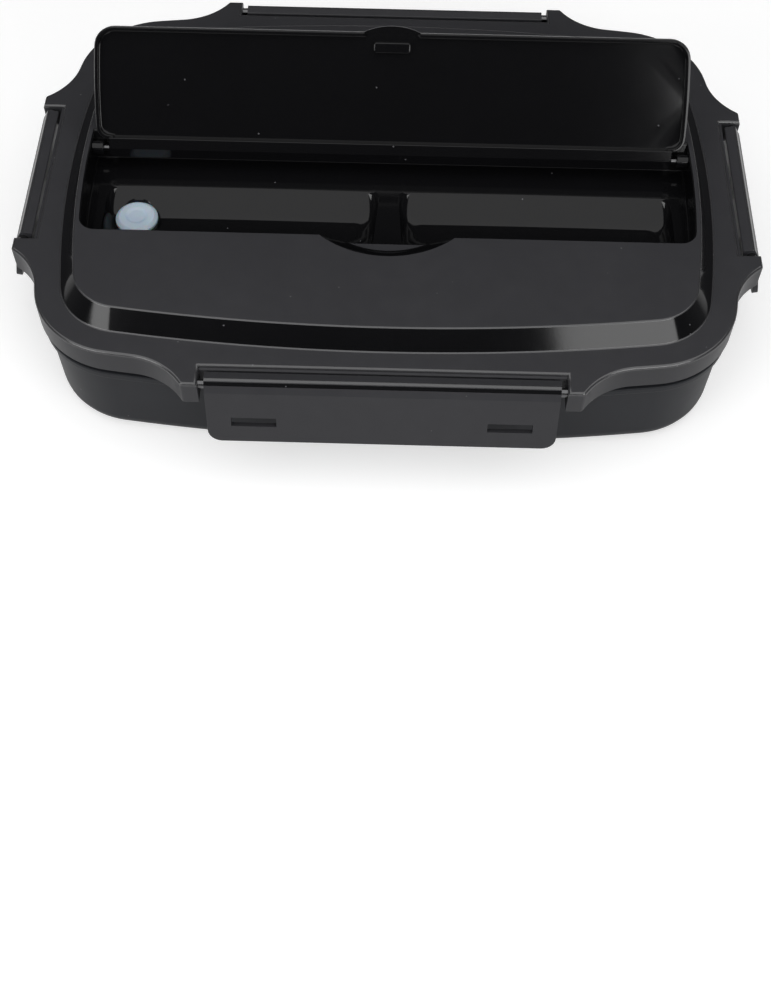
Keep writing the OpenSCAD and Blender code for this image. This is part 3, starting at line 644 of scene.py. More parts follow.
tray = make_piece("tray", tray_pressing(), [TRAY_STEEL])
with editing(tray.data) as bm:
    bmesh.ops.recalc_face_normals(bm, faces=bm.faces)
    if max(bm.faces, key=lambda f: f.calc_area()).normal.z < 0:
        bmesh.ops.reverse_faces(bm, faces=bm.faces)
sheet = tray.modifiers.new("sheet", "SOLIDIFY")
sheet.thickness = SHEET * MM
sheet.offset = -1
tray.modifiers.move(1, 0)
stands_for(tray, "tray", "tray_steel", "steel_tray")

# %% [markdown]
# ## The plan of the lid
# Seen from above, the lid is the bowed outline with a notch in each side for a latch. Beside a notch an
# ear stands out to hold the latch's pin, and it runs back into the outline in a hollow curve. Half a
# side is worked out and mirrored, so all eight ears come from the same few circles.

# %% Half of a side
LONG_NOTCH = 66.5
SIDE_NOTCH = 36.3
EAR_LEN = 6
EAR_BLEND_R = 26
EAR_CORNER_R = 1.5
NOTCH_IN = 0.9
NOTCH_REBATE = 1.0
REBATE_H = 1.2


def half_side(reach, side_r, notch, notch_in, shoulder):
    """From the middle of a side to its corner, as (along, out). Shoulder is the corner's bearing."""
    middle = (0, reach - side_r)
    top = reach + EAR_OUT
    tip = (notch + EAR_LEN, top)
    blend = crossing((*tip, EAR_BLEND_R), (*middle, side_r + EAR_BLEND_R))
    if blend[0] < tip[0]:
        blend = crossing((*middle, side_r + EAR_BLEND_R), (*tip, EAR_BLEND_R))
    gap = EAR_BLEND_R + EAR_CORNER_R
    round_z = top - EAR_CORNER_R
    corner = (blend[0] - math.sqrt(gap ** 2 - (blend[1] - round_z) ** 2), round_z)
    up = math.pi / 2
    foot = bearing(middle, blend)
    points = [(notch * i / 14, reach - notch_in) for i in range(15)]
    points += [(notch, points[-1][1] + 3), (notch, top), (notch + EAR_LEN / 2, top)]
    points += arc(corner, EAR_CORNER_R, up, bearing(corner, blend), 6)
    points += arc(blend, EAR_BLEND_R, bearing(blend, corner), bearing(blend, middle), 14)
    points += arc(middle, side_r, foot, shoulder, 8)
    return points


def lid_plan(out=0.0, notch_in=NOTCH_IN):
    """The plan of the lid, anticlockwise, moved out by a distance. The latches lie in its notches."""
    shrunk = [(x, y, r - CORNER_R) for x, y, r in LID_SIDES]
    centres = [crossing(shrunk[i], shrunk[(i + 1) % 4]) for i in range(4)]
    loop = []
    for i, side in enumerate(LID_SIDES):
        reach, notch = (HALF_WIDTH, LONG_NOTCH) if i % 2 else (HALF_LENGTH, SIDE_NOTCH)
        turn = Matrix.Rotation(math.radians(90 * i), 2)
        corner = turn.inverted() @ Vector(centres[i])
        shoulder = bearing((0, reach - side[2]), (-corner.y, corner.x))
        half = half_side(reach, side[2], notch, notch_in, math.pi - shoulder)
        before = [Vector((out_by, -along)) for along, out_by in reversed(half)]
        after = [Vector((out_by, along)) for along, out_by in half[1:]]
        loop += [tuple(turn @ p) for p in before + after]
        following = LID_SIDES[(i + 1) % 4]
        loop += arc(centres[i], CORNER_R, bearing(side, centres[i]), bearing(following, centres[i]), 16)
    return offset(loop, out) if out else loop


print("points round the lid:", len(lid_plan()))

# %% [markdown]
# ## The opening in the plateau
# The flap lies in an opening with bowed ends and round front corners. A shallow scoop in front of it
# makes room for a fingertip, and the wall behind the hinge leans back so that the open flap can rest
# along it. One function gives the loop at any height: it knows how deep the scoop is there and where
# the rear wall stands, and the number of points stays the same.

# %% Loop of the opening
OPENING_IN = 18.2
OPENING_FRONT = 37.5
OPENING_R = 6
HINGE_Y = 9.0
HINGE_Z = PLATEAU_Z - 3.3
OPENING_REAR = HINGE_Y + 3.7
SCOOP_HALF = 25.5
SCOOP_DEPTH = 10
SCOOP_Z = PLATEAU_Z - 4.1
SCOOP_RUN = 6
FLAP_OPEN = 124
scoop_r = (SCOOP_HALF ** 2 + SCOOP_DEPTH ** 2) / (2 * SCOOP_DEPTH)
lean = math.radians(FLAP_OPEN - 90)
STOP_FOOT = (HINGE_Y + 3.7 * math.cos(lean), HINGE_Z - 3.7 * math.sin(lean))


def scoop_dip(x, back=0.0):
    """How far the scoop's edge, moved in by a distance, lies in front of the opening's front edge."""
    return max(0.0, math.sqrt(max(0.0, (scoop_r - back) ** 2 - x ** 2)) - (scoop_r - SCOOP_DEPTH))


def rear_at(z):
    """Where the rear wall of the opening stands at a height."""
    return max(OPENING_REAR, STOP_FOOT[0] + (z - STOP_FOOT[1]) * math.tan(lean))


def bay_loop(end_in, front, rear, r, dip, half_dip):
    """A loop with bowed ends, round front corners and a dip in the middle of its front."""
    middle = (HALF_LENGTH - SHORT_SIDE_R, 0)
    end_r = SHORT_SIDE_R - end_in
    corner = (middle[0] + math.sqrt((end_r - r) ** 2 - (front + r) ** 2), front + r)
    steps = 18
    half = [(half_dip * i / steps, front - dip(half_dip * i / steps)) for i in range(steps)]
    run = corner[0] - half_dip
    half += [(half_dip + run * i / 20, front) for i in range(20)]
    half += arc(corner, r, -math.pi / 2, bearing(middle, corner), 8)
    half += arc(middle, end_r, bearing(middle, corner), math.asin(rear / end_r), 12, last=True)
    reach = half[-1][0]
    back = [(reach * (1 - i / 24), rear) for i in range(1, 48)]
    return half + back + [(-x, y) for x, y in reversed(half[1:])]


def opening_loop(z, dip=lambda x: 0.0, out=0.0):
    loop = bay_loop(OPENING_IN, -OPENING_FRONT, rear_at(z), OPENING_R, dip, SCOOP_HALF)
    return offset(loop, out) if out else loop


# %% [markdown]
# ## The lid
# The lid is the largest moulding. From outside in it has a skirt, a round top edge, a flat rim, a
# polished slope, the plateau, and the recess with its two wells. Each of them is a stack of loops, and
# flat faces join one stack to the next. The underside follows at the wall's thickness, so the shell is
# closed. Small fillets are modelled everywhere, because they catch the light on black plastic.

# %% Upper side of the lid
LID_WALL = 2.0
WELL_WALL = 1.6
PLATEAU_IN = 10
WELL_HALF = 112
WELL_FRONT = -35
WELL_REAR = -3
WELL_EDGE_R = 2.0
WELL_R = 6.5
WELL_FLOOR_R = 4.5
WELL_END_RUN = 6.5
WELL_SIDE_RUN = 11
WELL_RIB = 7.2
RIB_SPLAY = math.radians(4)
PLUG_X = 12 - WELL_HALF
PLUG_Y = WELL_REAR - 12.5
PAD_R = 9.2
POCKET_R = 8.5
PAD_Z = WELL_Z + 1.2
NEAR = 0.01  # heights and places closer than this count as the same
SATIN_FACE, POLISHED_FACE, EDGE_FACE = 0, 1, 2


def quarter(r, steps=5):
    """Angles of a small fillet, as (distance out, height) from its foot to its top."""
    return [(r * (1 - math.cos(a)), r * math.sin(a))
            for a in (math.pi / 2 * i / steps for i in range(steps + 1))]


def lid_skirt(lid):
    skirt = [(-0.35, SKIRT_Z), (-0.1, SKIRT_Z + 0.1), (0, SKIRT_Z + 0.35)]
    loops = [at(lid_plan(out), z) for out, z in skirt + [(0, RIM_Z - REBATE_H)]]
    above = NOTCH_IN + NOTCH_REBATE
    loops += [at(lid_plan(-out, above), RIM_Z - 1.1 + up) for out, up in quarter(1.1, 6)]
    lid.wall(loops[:5], SATIN_FACE)
    lid.wall(loops[4:], EDGE_FACE)
    return lid_plan(skirt[0][0]), lid_plan(-1.1, above)


def lid_slope(lid):
    slope = rounded([(PLATEAU_IN - 0.45, RIM_Z, 0), (PLATEAU_IN, RIM_Z, 0.8),
                     (PLATEAU_IN + 6, PLATEAU_Z, 0.9), (PLATEAU_IN + 6.5, PLATEAU_Z, 0)], steps=7)
    loops = lid_rings(slope)
    foot, brow = len(loops) // 2 - 1, len(loops) // 2
    lid.wall(loops[:foot + 1], EDGE_FACE)
    lid.wall(loops[foot:brow + 1], POLISHED_FACE)
    lid.wall(loops[brow:], EDGE_FACE)
    return lid_ring(slope[0][0]), lid_ring(slope[-1][0])


def lid_opening(lid):
    edge_r, foot_r, front_r, edge_z = 0.5, 0.6, 0.8, PLATEAU_Z - 0.7
    stack = []
    for out, up in quarter(foot_r):
        z = LEDGE_Z + foot_r - up
        stack.insert(0, at(opening_loop(z, out=-out), z))
    for out, up in quarter(front_r):
        z = SCOOP_Z - front_r + up
        stack.append(at(opening_loop(z, lambda x, out=out: min(out, scoop_dip(x, SCOOP_RUN))), z))
    for share in (0, 0.04, 0.2, 0.4, 0.6, 0.8, 1):
        z = SCOOP_Z + (edge_z - SCOOP_Z) * share
        back = SCOOP_RUN * (1 - share) - (0.3 if 0 < share < 1 else 0)
        stack.append(at(opening_loop(z, lambda x, back=back: max(min(front_r, scoop_dip(x, SCOOP_RUN)),
                                                                scoop_dip(x, back))), z))
    for out, up in quarter(edge_r):
        z = PLATEAU_Z - edge_r + up
        stack.append(at(opening_loop(z, scoop_dip, out), z))
    first = len(lid.faces)
    lid.wall(stack, POLISHED_FACE)
    for i in range(first, len(lid.faces)):
        corners = [lid.points[j] for j in lid.faces[i]]
        if all(y < NEAR - OPENING_FRONT and abs(z - SCOOP_Z) < NEAR for x, y, z in corners):
            lid.finishes[i] = SATIN_FACE
    return flat(stack[0]), flat(stack[-1])


def well_loop(end_in, side_in, r, grow=0.0):
    """A loop of the right half of the well. The side beside the rib splays towards the front."""
    low, high = WELL_RIB / 2 + end_in, WELL_HALF - end_in
    middle, rear, front = (low + high) / 2, WELL_REAR - side_in, WELL_FRONT + side_in
    sides = [(high - STRAIGHT_R, (front + rear) / 2, STRAIGHT_R), (middle, rear - STRAIGHT_R, STRAIGHT_R),
             (low + STRAIGHT_R * math.cos(RIB_SPLAY), WELL_REAR + STRAIGHT_R * math.sin(RIB_SPLAY),
              STRAIGHT_R),
             (middle, front + STRAIGHT_R, STRAIGHT_R)]
    return ring(sides, r, -grow, 64, 10)


def well_levels(grow=0.0):
    """Loops of the well's wall from its edge down. It starts as a slope and flattens into the floor."""
    levels = []
    pad = (PAD_Z - WELL_Z) / (LEDGE_Z - WELL_Z)
    for share in (1.0, 0.995, 0.985, 0.97, 0.93, 0.86, 0.77, 0.67, 0.57, 0.47, 0.37, 0.28, 0.2, pad,
                  pad - 0.004, 0.13, 0.07, 0.03, 0.01, 0.0):
        end_in = WELL_END_RUN * (1 - math.sqrt(share * (2 - share)))
        side_in = WELL_SIDE_RUN * (1 - share ** (1 / 1.7))
        r = WELL_FLOOR_R + (WELL_R - WELL_FLOOR_R) * math.sqrt(share)
        if share > 0.97:
            r = WELL_EDGE_R + (r - WELL_EDGE_R) * (1 - share) / 0.03
        z = WELL_Z + (LEDGE_Z - WELL_Z) * share - grow
        levels.append((well_loop(end_in, side_in, r, grow), z))
    return levels


def pushed_out(loop, r):
    """Moves points near the plug out to a circle round it, which makes the pocket it sits in."""
    centre = Vector((PLUG_X, PLUG_Y))
    spokes = [Vector(point) - centre for point in loop]
    return [tuple(centre + spoke * max(1.0, r / spoke.length)) for spoke in spokes]


def lid_wells(lid, grow=0.0):
    """Both halves of the well. With grow they are its outer faces, below the lid."""
    mouths = []
    for u in (1, -1):
        levels = [([(u * x, y) for x, y in loop][::u], z) for loop, z in well_levels(grow)]
        if u < 0:
            levels = [(pushed_out(loop, POCKET_R + grow) if z > PAD_Z - grow - NEAR else loop, z)
                      for loop, z in levels]
        lid.wall([at(loop, z) for loop, z in levels], POLISHED_FACE)
        lid.cap(*levels[-1], finish=POLISHED_FACE)
        mouths.append(levels[0][0])
    return mouths


# %% Underside of the lid
def lid_underside(lid, bottom):
    """The inner face of the skirt, the hollow plateau, and the outer faces of the recess."""
    under_z, top_z, ledge_z = RIM_Z - LID_WALL, PLATEAU_Z - LID_WALL, LEDGE_Z - WELL_WALL
    hollow = rounded([(LID_WALL, SKIRT_Z, 0), (LID_WALL, under_z, 0.6), (PLATEAU_IN + 2, under_z, 0.6),
                      (PLATEAU_IN + 7, top_z, 1.5), (PLATEAU_IN + 8.2, top_z, 0)], steps=4)
    lid.wall(lid_rings(hollow), SATIN_FACE)
    lid.cap(bottom, SKIRT_Z, [lid_ring(LID_WALL)], SATIN_FACE)
    grown = lambda x: scoop_dip(x) + WELL_WALL
    none = lambda x: WELL_WALL
    block, wall = OPENING_REAR + 5, OPENING_REAR + WELL_WALL
    stack = []
    for z, dip, rear in ((top_z, grown, block), (SCOOP_Z - WELL_WALL, grown, block),
                         (SCOOP_Z - WELL_WALL, none, block), (HINGE_Z - 3.3, none, block),
                         (HINGE_Z - 3.3, none, wall), (ledge_z, none, wall)):
        stack.append(at(bay_loop(OPENING_IN - WELL_WALL, -OPENING_FRONT, rear, OPENING_R + WELL_WALL,
                                 dip, SCOOP_HALF + WELL_WALL), z))
    return stack, hollow[-1][0], top_z, ledge_z


def make_lid():
    lid = Moulding()
    bottom, edge = lid_skirt(lid)
    foot, brow = lid_slope(lid)
    ledge_edge, opening_edge = lid_opening(lid)
    lid.cap(edge, RIM_Z, [foot], SATIN_FACE)
    lid.cap(brow, PLATEAU_Z, [opening_edge], SATIN_FACE)
    lid.cap(ledge_edge, LEDGE_Z, lid_wells(lid), POLISHED_FACE)
    stack, hollow_in, top_z, ledge_z = lid_underside(lid, bottom)
    lid.wall(stack, SATIN_FACE)
    lid.cap(lid_ring(hollow_in), top_z, [flat(stack[0])], SATIN_FACE)
    lid.cap(flat(stack[-1]), ledge_z, lid_wells(lid, WELL_WALL), SATIN_FACE)
    return lid


# %% [markdown]
# ## Small parts of the lid
# The ribs that hold the seal, the pad under the vent plug and the bosses that hold the flap's pins are
# closed solids that sink into the shell, as a mould maker would add them as inserts. The well's wall
# bulges out round the plug, to a pocket that the pad fills from below.

# %% Ribs, pad and bosses
BOSS_R = 2.6
flap_pin_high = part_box("flap_pin_right")[1] / MM
BOSS_FACE_X = flap_pin_high.x - 3.4


def lid_inserts(lid):
    for inner, outer, low in ((9.2, 10.6, RIM_Z - 8), (1.0, 5.7, RIM_Z - 4)):
        section = rounded([(inner, low, 0.3), (outer, low, 0.3), (outer, RIM_Z - 1.4, 0),
                           (inner, RIM_Z - 1.4, 0)], 3, closed=True)
        lid.wall(lid_rings(section), SATIN_FACE, closed=True)
    pad = rounded([(0.5, PAD_Z, 0), (PAD_R, PAD_Z, 0.4), (PAD_R, WELL_Z - 0.8, 0)], 4)
    lid.tube((PLUG_X, PLUG_Y, 0), (0, 0, 1), pad, 64, POLISHED_FACE)
    for u in (-1, 1):
        boss = rounded([(0.8, 0, 0), (BOSS_R, 0, 0.4), (BOSS_R, 4.4, 0)], 4)
        lid.tube((u * BOSS_FACE_X, HINGE_Y, HINGE_Z), (u, 0, 0), boss, 32, POLISHED_FACE)
    return lid


lid = make_piece("lid", lid_inserts(make_lid()), [SATIN, POLISHED, BURNISHED])
stands_for(lid, "lid", "lid_plastic", "lid_shell")

# %% [markdown]
# ## The seal
# A ring of silicone sits in the groove under the rim and presses on the tray's lip. It has the same
# section all round, so the sweep tree makes it.

# %% Seal
SEAL_IN = LIP_IN
SEAL_W = 3
SEAL_H = 2.25
seal_section = rounded([(0, 0.7, 0.3), (0, SEAL_H, 0.2), (SEAL_W, SEAL_H, 0.2), (SEAL_W, 0.7, 0.3),
                        (SEAL_W - 0.9, 0, 0.3), (0.9, 0, 0.3)], 3, closed=True)
seal = swept_piece("seal", lid_ring(0), seal_section, SEAL_SILICONE, closed=True,
                   move_in=SEAL_IN, lift=RIM_Z - LID_WALL - SEAL_H)
stands_for(seal, "lid", "gasket_silicone", "lid_gasket")

# %% [markdown]
# ## The vent plug
# A small plug of clear silicone closes a hole in the well. It is a turned shape: a flat head with a
# round edge and a shallow dimple, and a stem through the floor.

# %% Plug
PLUG_R = 8.4
PLUG_H = 2.3
plug_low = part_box("vent_plug")[0] / MM


def vent_plug():
    plug = Moulding()
    top = PAD_Z + PLUG_H
    profile = rounded([(0.3, top - 0.5, 0), (3.2, top - 0.5, 1.5), (4.4, top, 1.2), (PLUG_R - 1.5, top, 1),
                       (PLUG_R, PAD_Z + 1.1, 0.8), (PLUG_R, PAD_Z, 0.2), (3.2, PAD_Z, 0.2),
                       (3.2, plug_low.z, 0.6), (0.3, plug_low.z, 0)], 6)
    plug.tube((PLUG_X, PLUG_Y, 0), (0, 0, 1), profile, 72)
    return plug


plug = make_piece("plug", vent_plug(), [PLUG_SILICONE])
stands_for(plug, "plug", "plug_silicone", "vent_plug")

# %% [markdown]
# ## The flap
# The flap is a thin plate with a rim round its underside and a round rear edge that turns on two pins. A
# thumb tab bulges from its front edge, where the rim is left out, and a short rib behind the tab snaps
# the flap shut. It is modelled as it lies closed, and then turned about its hinge to stand open.

# %% Flap
FLAP_FRONT = -37.1
FLAP_IN = 20
FLAP_R = 8
FLAP_PLATE = 1.6
FLAP_EDGE = 3.6
BARREL_R = 3.3
CUT_R = 5
TAB_HALF = 11
TAB_OUT = 2.3
tab_r = (TAB_HALF ** 2 + TAB_OUT ** 2) / (2 * TAB_OUT)
BARREL_X = BOSS_FACE_X - 2.2


def tab_bulge(x):
    """How far the thumb tab stands out in front of the flap's edge."""
    return math.sqrt(tab_r ** 2 - x ** 2) - (tab_r - TAB_OUT)


def flap_loop(out=0.0):
    loop = bay_loop(FLAP_IN, FLAP_FRONT, HINGE_Y, FLAP_R, tab_bulge, TAB_HALF)
    cut = (BARREL_X, HINGE_Y - BARREL_R - CUT_R)
    kept = [p for p in loop if p[1] < cut[1] - 0.2]
    right = [p for p in kept if p[0] >= 0]
    left = [(-x, y) for x, y in reversed(right) if x > 0]
    corner = arc(cut, CUT_R, 0, math.pi / 2, 8, last=True)
    corner += [(BARREL_X, HINGE_Y - 1.5), (BARREL_X, HINGE_Y)]
    back = [(BARREL_X * (1 - i / 12), HINGE_Y) for i in range(1, 24)]
    whole = right + corner + back + [(-x, y) for x, y in reversed(corner)] + left
    return offset(whole, out) if out else whole


def flap_wall(out, z):
    """A loop of the flap's edge. In front of the tab it never goes below the plate."""
    plate_z = PLATEAU_Z - FLAP_PLATE
    return [(x, y, max(z, plate_z) if abs(px) < TAB_HALF - 0.6 and py < FLAP_FRONT + 0.1 else z)
            for (x, y), (px, py) in zip(flap_loop(out), flap_loop())]


def barrel_section():
    """The rear edge from the side: (distance to the front, depth below the hinge line), anticlockwise."""
    back = [(-BARREL_R * math.sin(a), -BARREL_R * math.cos(a)) for a in np.linspace(0, 1.75, 12)]
    inner = rounded([(*back[-1], 0), (0.1, 2.3, 0.5), (4.3, 2.3, 0.35), (4.3, -2.4, 0)], 5)
    return (back[:-1] + inner)[::-1]


def make_flap():
    flap = Moulding()
    low, plate_z = PLATEAU_Z - FLAP_EDGE, PLATEAU_Z - FLAP_PLATE
    edge = [(-out, PLATEAU_Z - 0.6 + up) for out, up in reversed(quarter(0.6))]
    edge += [(0, low + 0.3), (-0.1, low + 0.08), (-0.35, low), (-1.25, low), (-1.5, low + 0.08),
             (-1.6, low + 0.3), (-1.6, plate_z - 0.6), (-1.75, plate_z - 0.2), (-2.2, plate_z)]
    stack = [flap_wall(out, z) for out, z in edge]
    flap.wall(stack[:8], SATIN_FACE)
    flap.wall(stack[7:], POLISHED_FACE)
    flap.cap(flat(stack[0]), PLATEAU_Z, finish=SATIN_FACE)
    flap.cap(flat(stack[-1]), plate_z, finish=POLISHED_FACE)
    ends = [(-BARREL_X, -0.3), (-BARREL_X + 0.3, 0), (BARREL_X - 0.3, 0), (BARREL_X, -0.3)]
    flap.prism([[(x, HINGE_Y - u, HINGE_Z - n) for u, n in offset(barrel_section(), shrink)]
                for x, shrink in ends], POLISHED_FACE)
    rib_y = FLAP_FRONT + FLAP_EDGE
    rib = rounded([(-7, rib_y, 1), (7, rib_y, 1), (7, rib_y + 4, 1), (-7, rib_y + 4, 1)], 5, closed=True)
    rib_low = plate_z - 2
    levels = [(0.4, plate_z + 0.5), (0, plate_z - 0.3), (0, rib_low + 0.5), (-0.15, rib_low + 0.15),
              (-0.5, rib_low)]
    flap.prism([at(offset(rib, out), z) for out, z in levels], POLISHED_FACE)
    flap.moved(turn_about((0, HINGE_Y, HINGE_Z), -FLAP_OPEN))
    return flap


flap = make_piece("flap", make_flap(), [SATIN, POLISHED])
stands_for(flap, "flap", "flap_plastic", "cutlery_flap")

# %% [markdown]
# ## The latches
# A latch is a plate with a deep barrel along its top, where two pins let it swing. The barrel is flat on
# top and its outer edge is burnished. Each of the two windows lies under a hook, which its mould is cored
# through. The side view is one closed line, drawn out along the latch on a grid of stations, so the round
# lower corners and the windows come from the grid itself. A second Geometry Nodes tree sets the hooks.

# %% Repeat tree
def repeat_tree():
    """Sets copies of a geometry along X, centred, at a spacing."""
    inputs = {"Geometry": "Geometry", "Count": "Int", "Spacing": "Float", "Finish": "Material"}
    tree, given, end = new_tree("repeat along a line", "GeometryNodeTree", inputs, ("Geometry", "Geometry"))
    span = maths(tree, "MULTIPLY", maths(tree, "SUBTRACT", given["Count"], 1), given["Spacing"])
    first = add(tree, "ShaderNodeCombineXYZ", {"X": maths(tree, "MULTIPLY", span, -0.5)})
    step = add(tree, "ShaderNodeCombineXYZ", {"X": given["Spacing"]})
    line = add(tree, "GeometryNodeMeshLine", {"Count": given["Count"], "Start Location": first, "Offset": step})
    copies = add(tree, "GeometryNodeInstanceOnPoints", {"Points": line, "Instance": given["Geometry"]})
    coat(tree, copies, given["Finish"], end)
    return tree


REPEAT = repeat_tree()

# %% Plate of a latch
LATCH_SLIT = 0.5
LATCH_DEPTH = 6.2
LATCH_FACE = LATCH_SLIT + LATCH_DEPTH
LATCH_H = 28.4
LATCH_PLATE = 2.2
LATCH_CORNER_R = 5
LATCH_END_GAP = 2.3
LATCH_BARREL_R = 3.2
WINDOW_W = 16.6
WINDOW_TOP = FLANGE_Z - 0.3
WINDOW_H = 4.1
WINDOW_LOW = WINDOW_TOP - WINDOW_H
HOOK_IN = 1.8
HOOK_H = 1.5
EDGE_BAND = 1.0
POLISHED_BAND = 2.5
TOP_DEPTH = 2.8
LATCH_AJAR = 12


def latch_section(reach):
    """The side view of a latch as a closed line of (distance out, height)."""
    inner, face = reach + LATCH_SLIT, reach + LATCH_FACE
    low, top = RIM_Z - LATCH_H, RIM_Z
    back = face - LATCH_PLATE
    return rounded([
        (face, low, 0), (face, WINDOW_LOW, 0), (face, WINDOW_TOP, 0), (face, top - 5.2, 1.2),
        (face - 0.9, top - 2.4, 0), (face - 1.7, top, 1.4), (inner, top, 0.6),
        (inner, top - 9.6, 0.8), (back - 0.6, top - 9.6, 0.5), (back, top - 11, 0.5),
        (back, WINDOW_TOP, 0), (back, WINDOW_LOW, 0), (back, low, 0)], 6, closed=True)


def latch_finish(a, b, face):
    """Burnished on the outer edge, polished on a narrow band below it, satin elsewhere."""
    low = min(a[1], b[1])
    if min(a[0], b[0]) < face - TOP_DEPTH or low < RIM_Z - POLISHED_BAND:
        return SATIN_FACE
    return EDGE_FACE if low > RIM_Z - EDGE_BAND else POLISHED_FACE


def latch_stations(half, windows):
    """Places along a latch where its section is set, closer together in the round corners."""
    corner = [half - LATCH_CORNER_R * (1 - math.cos(math.radians(a))) for a in range(0, 91, 15)]
    plain = {round(half / 9 * i, 3) for i in range(-8, 9)}
    edges = {round(u * windows + v * WINDOW_W / 2, 3) for u in (-1, 1) for v in (-1, 1)}
    places = {round(u * x, 3) for u in (-1, 1) for x in corner} | edges
    places |= {p for p in plain if min(abs(p - q) for q in places) > 1.2}
    return sorted(places)


def make_latch(reach, notch, windows):
    """A latch as if it were the front one, shut, facing -Y."""
    half = notch - LATCH_END_GAP
    low, face = RIM_Z - LATCH_H, reach + LATCH_FACE
    section = latch_section(reach)
    stations = latch_stations(half, windows)
    plate = Moulding()
    loops = []
    for x in stations:
        past = max(0.0, abs(x) - (half - LATCH_CORNER_R))
        bottom = low + LATCH_CORNER_R - math.sqrt(max(0.0, LATCH_CORNER_R ** 2 - past ** 2))
        loops.append([(x, -v, max(z, bottom)) for v, z in section])
        plate.points += loops[-1]
    holes = [(u * windows - WINDOW_W / 2, u * windows + WINDOW_W / 2) for u in (-1, 1)]
    sides = {round(WINDOW_LOW, 2), round(WINDOW_TOP, 2)}
    n = len(section)
    for i, (a, b) in enumerate(zip(stations, stations[1:])):
        open_here = any(lo - NEAR < a and b < hi + NEAR for lo, hi in holes)
        for j, (this, following) in enumerate(zip(section, section[1:] + section[:1])):
            upright = abs(this[0] - following[0]) < NEAR
            if open_here and upright and {round(this[1], 2), round(following[1], 2)} == sides:
                continue
            k = (j + 1) % n
            plate.faces.append((i * n + j, i * n + k, (i + 1) * n + k, (i + 1) * n + j))
            plate.finishes.append(latch_finish(this, following, section[0][0]))
    plate.lid_of(loops[0])
    plate.lid_of(loops[-1])
    for lo, hi in holes:
        xs = [x for x in stations if lo - NEAR < x < hi + NEAR]
        frame_line = [(x, WINDOW_LOW) for x in xs] + [(x, WINDOW_TOP) for x in reversed(xs)]
        plate.wall([[(x, -v, z) for x, z in frame_line] for v in (face, face - LATCH_PLATE)])
    return plate


def latch_hook(reach):
    """One hook, in the middle of the latch. It hangs over a window, through which its mould is cored."""
    back, tip, top = reach + LATCH_FACE - LATCH_PLATE, reach - HOOK_IN, WINDOW_TOP
    side = rounded([(back + 0.4, top + 1.2, 0), (back + 0.4, top, 0), (back - 0.2, top - HOOK_H, 0),
                    (tip, top - HOOK_H, 0.4), (tip, top, 0.3), (back - 1.2, top, 0.4),
                    (back - 0.2, top + 1.2, 0)], 4, closed=True)
    hook = Moulding()
    half = WINDOW_W / 2
    ends = [(-half, 0.3), (-half + 0.3, 0), (half - 0.3, 0), (half, 0.3)]
    loops = [[(x, -v, z) for v, z in offset(side, -shrink)] for x, shrink in ends]
    hook.prism(loops)
    return hook


# %% Four latches
def plain_object(name, moulding):
    piece = new_object(name, moulding.points, moulding.faces, finishes=moulding.finishes)
    tidy_mesh(piece.data)
    return piece


def join_meshes(piece, other):
    """Adds another object's mesh to a piece and removes the other object."""
    with editing(piece.data) as bm:
        bm.from_mesh(other.data)
    bpy.data.objects.remove(other)


for name, turn, reach, notch, windows in (
        ("front", 0, HALF_WIDTH, LONG_NOTCH, 47), ("rear", 180, HALF_WIDTH, LONG_NOTCH, 47),
        ("left", -90, HALF_LENGTH, SIDE_NOTCH, 20), ("right", 90, HALF_LENGTH, SIDE_NOTCH, 20)):
    latch = plain_object(f"latch_{name}_plate", make_latch(reach, notch, windows))
    hooks = plain_object(f"latch_{name}_hooks", latch_hook(reach))
    run_tree(hooks, REPEAT, Count=2, Spacing=2 * windows * MM, Finish=SATIN)
    join_meshes(latch, hooks)
    pivot = Vector((0, -(reach + LATCH_SLIT + LATCH_BARREL_R), RIM_Z - LATCH_BARREL_R)) * MM
    latch.data.transform(Matrix.Rotation(math.radians(turn), 4, "Z") @ turn_about(pivot, -LATCH_AJAR))
    for finish in (SATIN, POLISHED, BURNISHED):
        latch.data.materials.append(finish)
    bevel = latch.modifiers.new("soft edges", "BEVEL")
    bevel.width = 0.35 * MM
    bevel.segments = 3
    bevel.limit_method = "ANGLE"
    bevel.angle_limit = math.radians(35)
    weigh_normals(latch)
    stands_for(latch, f"{name}_latch", "latch_plastic", f"latch_{name}")
    print(f"latch_{name}: {len(latch.data.polygons)} faces, windows {windows} mm from the middle")

# %% [markdown]
# ## The pins
# The ten pins are plain turned steel, and the CAD model's own solids have the right shape. They stay,
# and only take on a steel finish whose tint is darkened as painted shade.

# %% Pins
pins = [node for name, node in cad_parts.items() if "pin" in name]
for pin in pins:
    pin.data.materials.clear()
    pin.data.materials.append(PIN_STEEL_WITH_PAINTED_SHADE)
print("pins with a steel finish:", len(pins))

# %% [markdown]
# ## Floor, light and camera
# A black object shows its shape by what it mirrors, so the light is large and soft: one broad panel above
# and one on each side. The floor gets whiter with distance and the room is white, but only for the camera.
# So a shadow still shows beside the box, and polished plastic mirrors a dim room.


# %% Floor
FLOOR_HALF = 12000
FLOOR_GREY = 0.72
GLOW_FROM, GLOW_TO = 0.6, 2.0  # metres from the middle of the floor
NEAR_GLOW = 0.45
MIRRORED_GLOW = 0.15


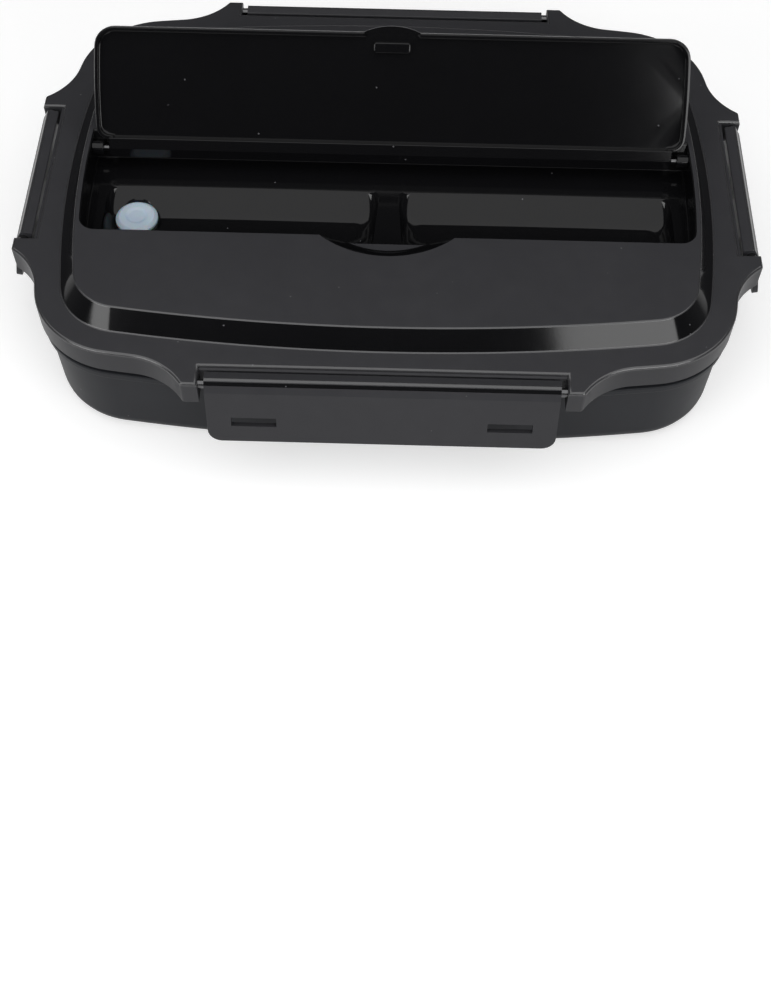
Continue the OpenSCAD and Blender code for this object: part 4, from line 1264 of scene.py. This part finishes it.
def pale_floor():
    """A matt floor that the camera sees paler with distance, until it meets the white backdrop."""
    material, tree, sockets = new_material("pale floor", {
        "Base Color": (FLOOR_GREY, FLOOR_GREY, FLOOR_GREY, 1), "Roughness": 1.0, "Specular IOR Level": 0.0,
        "Emission Color": (1, 1, 1, 1)})
    place = add(tree, "ShaderNodeTexCoord", output="Object")
    away = add(tree, "ShaderNodeVectorMath", {0: place}, "Value", operation="LENGTH")
    level = add(tree, "ShaderNodeMapRange", {"Value": away, "From Min": GLOW_FROM, "From Max": GLOW_TO,
                                             "To Min": NEAR_GLOW, "To Max": 1.0})
    path = add(tree, "ShaderNodeLightPath").node.outputs
    seen = maths(tree, "MULTIPLY", path["Is Camera Ray"], level)
    mirrored = maths(tree, "MAXIMUM", path["Is Glossy Ray"], path["Is Transmission Ray"])
    mirrored = maths(tree, "MULTIPLY", mirrored, MIRRORED_GLOW)
    tree.links.new(maths(tree, "MAXIMUM", seen, mirrored), sockets["Emission Strength"])
    corners = [(u * FLOOR_HALF, v * FLOOR_HALF, 0) for u, v in ((-1, -1), (1, -1), (1, 1), (-1, 1))]
    floor = new_object("floor", corners, [(0, 1, 2, 3)])
    floor.data.materials.append(material)
    return floor


floor = pale_floor()


# %% World and lamps
def soft_panel(name, place, aim, width, height, power):
    lamp = bpy.data.lights.new(name, "AREA")
    lamp.shape = "RECTANGLE"
    lamp.size, lamp.size_y, lamp.energy = width, height, power
    panel = bpy.data.objects.new(name, lamp)
    panel.location = place
    panel.rotation_euler = (Vector(aim) - Vector(place)).to_track_quat("-Z", "Y").to_euler()
    bpy.context.scene.collection.objects.link(panel)


def studio_world():
    """A dim room, a little lighter towards its floor, that the camera sees as white."""
    world = bpy.data.worlds.new("studio")
    world.use_nodes = True
    tree = world.node_tree
    place = add(tree, "ShaderNodeTexCoord", output="Generated")
    height = add(tree, "ShaderNodeSeparateXYZ", {0: place}, "Z")
    room = add(tree, "ShaderNodeValToRGB", {"Fac": height})
    for stop, (place, level) in zip(room.node.color_ramp.elements, ((0.08, 0.15), (0.35, 0.04))):
        stop.position, stop.color = place, (level, level, level * 1.02, 1)
    seen = add(tree, "ShaderNodeLightPath", output="Is Camera Ray")
    tree.links.new(blend(tree, seen, room, (1, 1, 1)), tree.nodes["Background"].inputs["Color"])
    bpy.context.scene.world = world


studio_world()
soft_panel("panel above", (0, -0.53, 1.2), (0, -0.53, 0), 2.4, 2.24, 22)
soft_panel("panel left", (-0.9, -0.83, 0.62), (0, 0, 0.03), 0.7, 0.32, 4.2)
soft_panel("panel right", (0.72, -0.98, 0.62), (0, 0, 0.03), 0.8, 0.32, 4.5)

# %% Camera
CAMERA_PLACE = (5.0, -397.8, 442.4)
CAMERA_TURN = 0.63
CAMERA_DOWN = 57.81
CAMERA_ROLL = 0.94
LENS = 49.2

lens = bpy.data.cameras.new("camera")
lens.lens = LENS
camera = bpy.data.objects.new("camera", lens)
camera.matrix_world = (Matrix.Translation(Vector(CAMERA_PLACE) * MM)
                       @ Matrix.Rotation(math.radians(CAMERA_TURN), 4, "Z")
                       @ Matrix.Rotation(math.radians(90 - CAMERA_DOWN), 4, "X")
                       @ Matrix.Rotation(math.radians(CAMERA_ROLL), 4, "Z"))
bpy.context.scene.collection.objects.link(camera)
bpy.context.scene.camera = camera
bpy.context.scene.view_settings.view_transform = "Standard"
print("camera at", [round(v, 1) for v in CAMERA_PLACE], "mm")
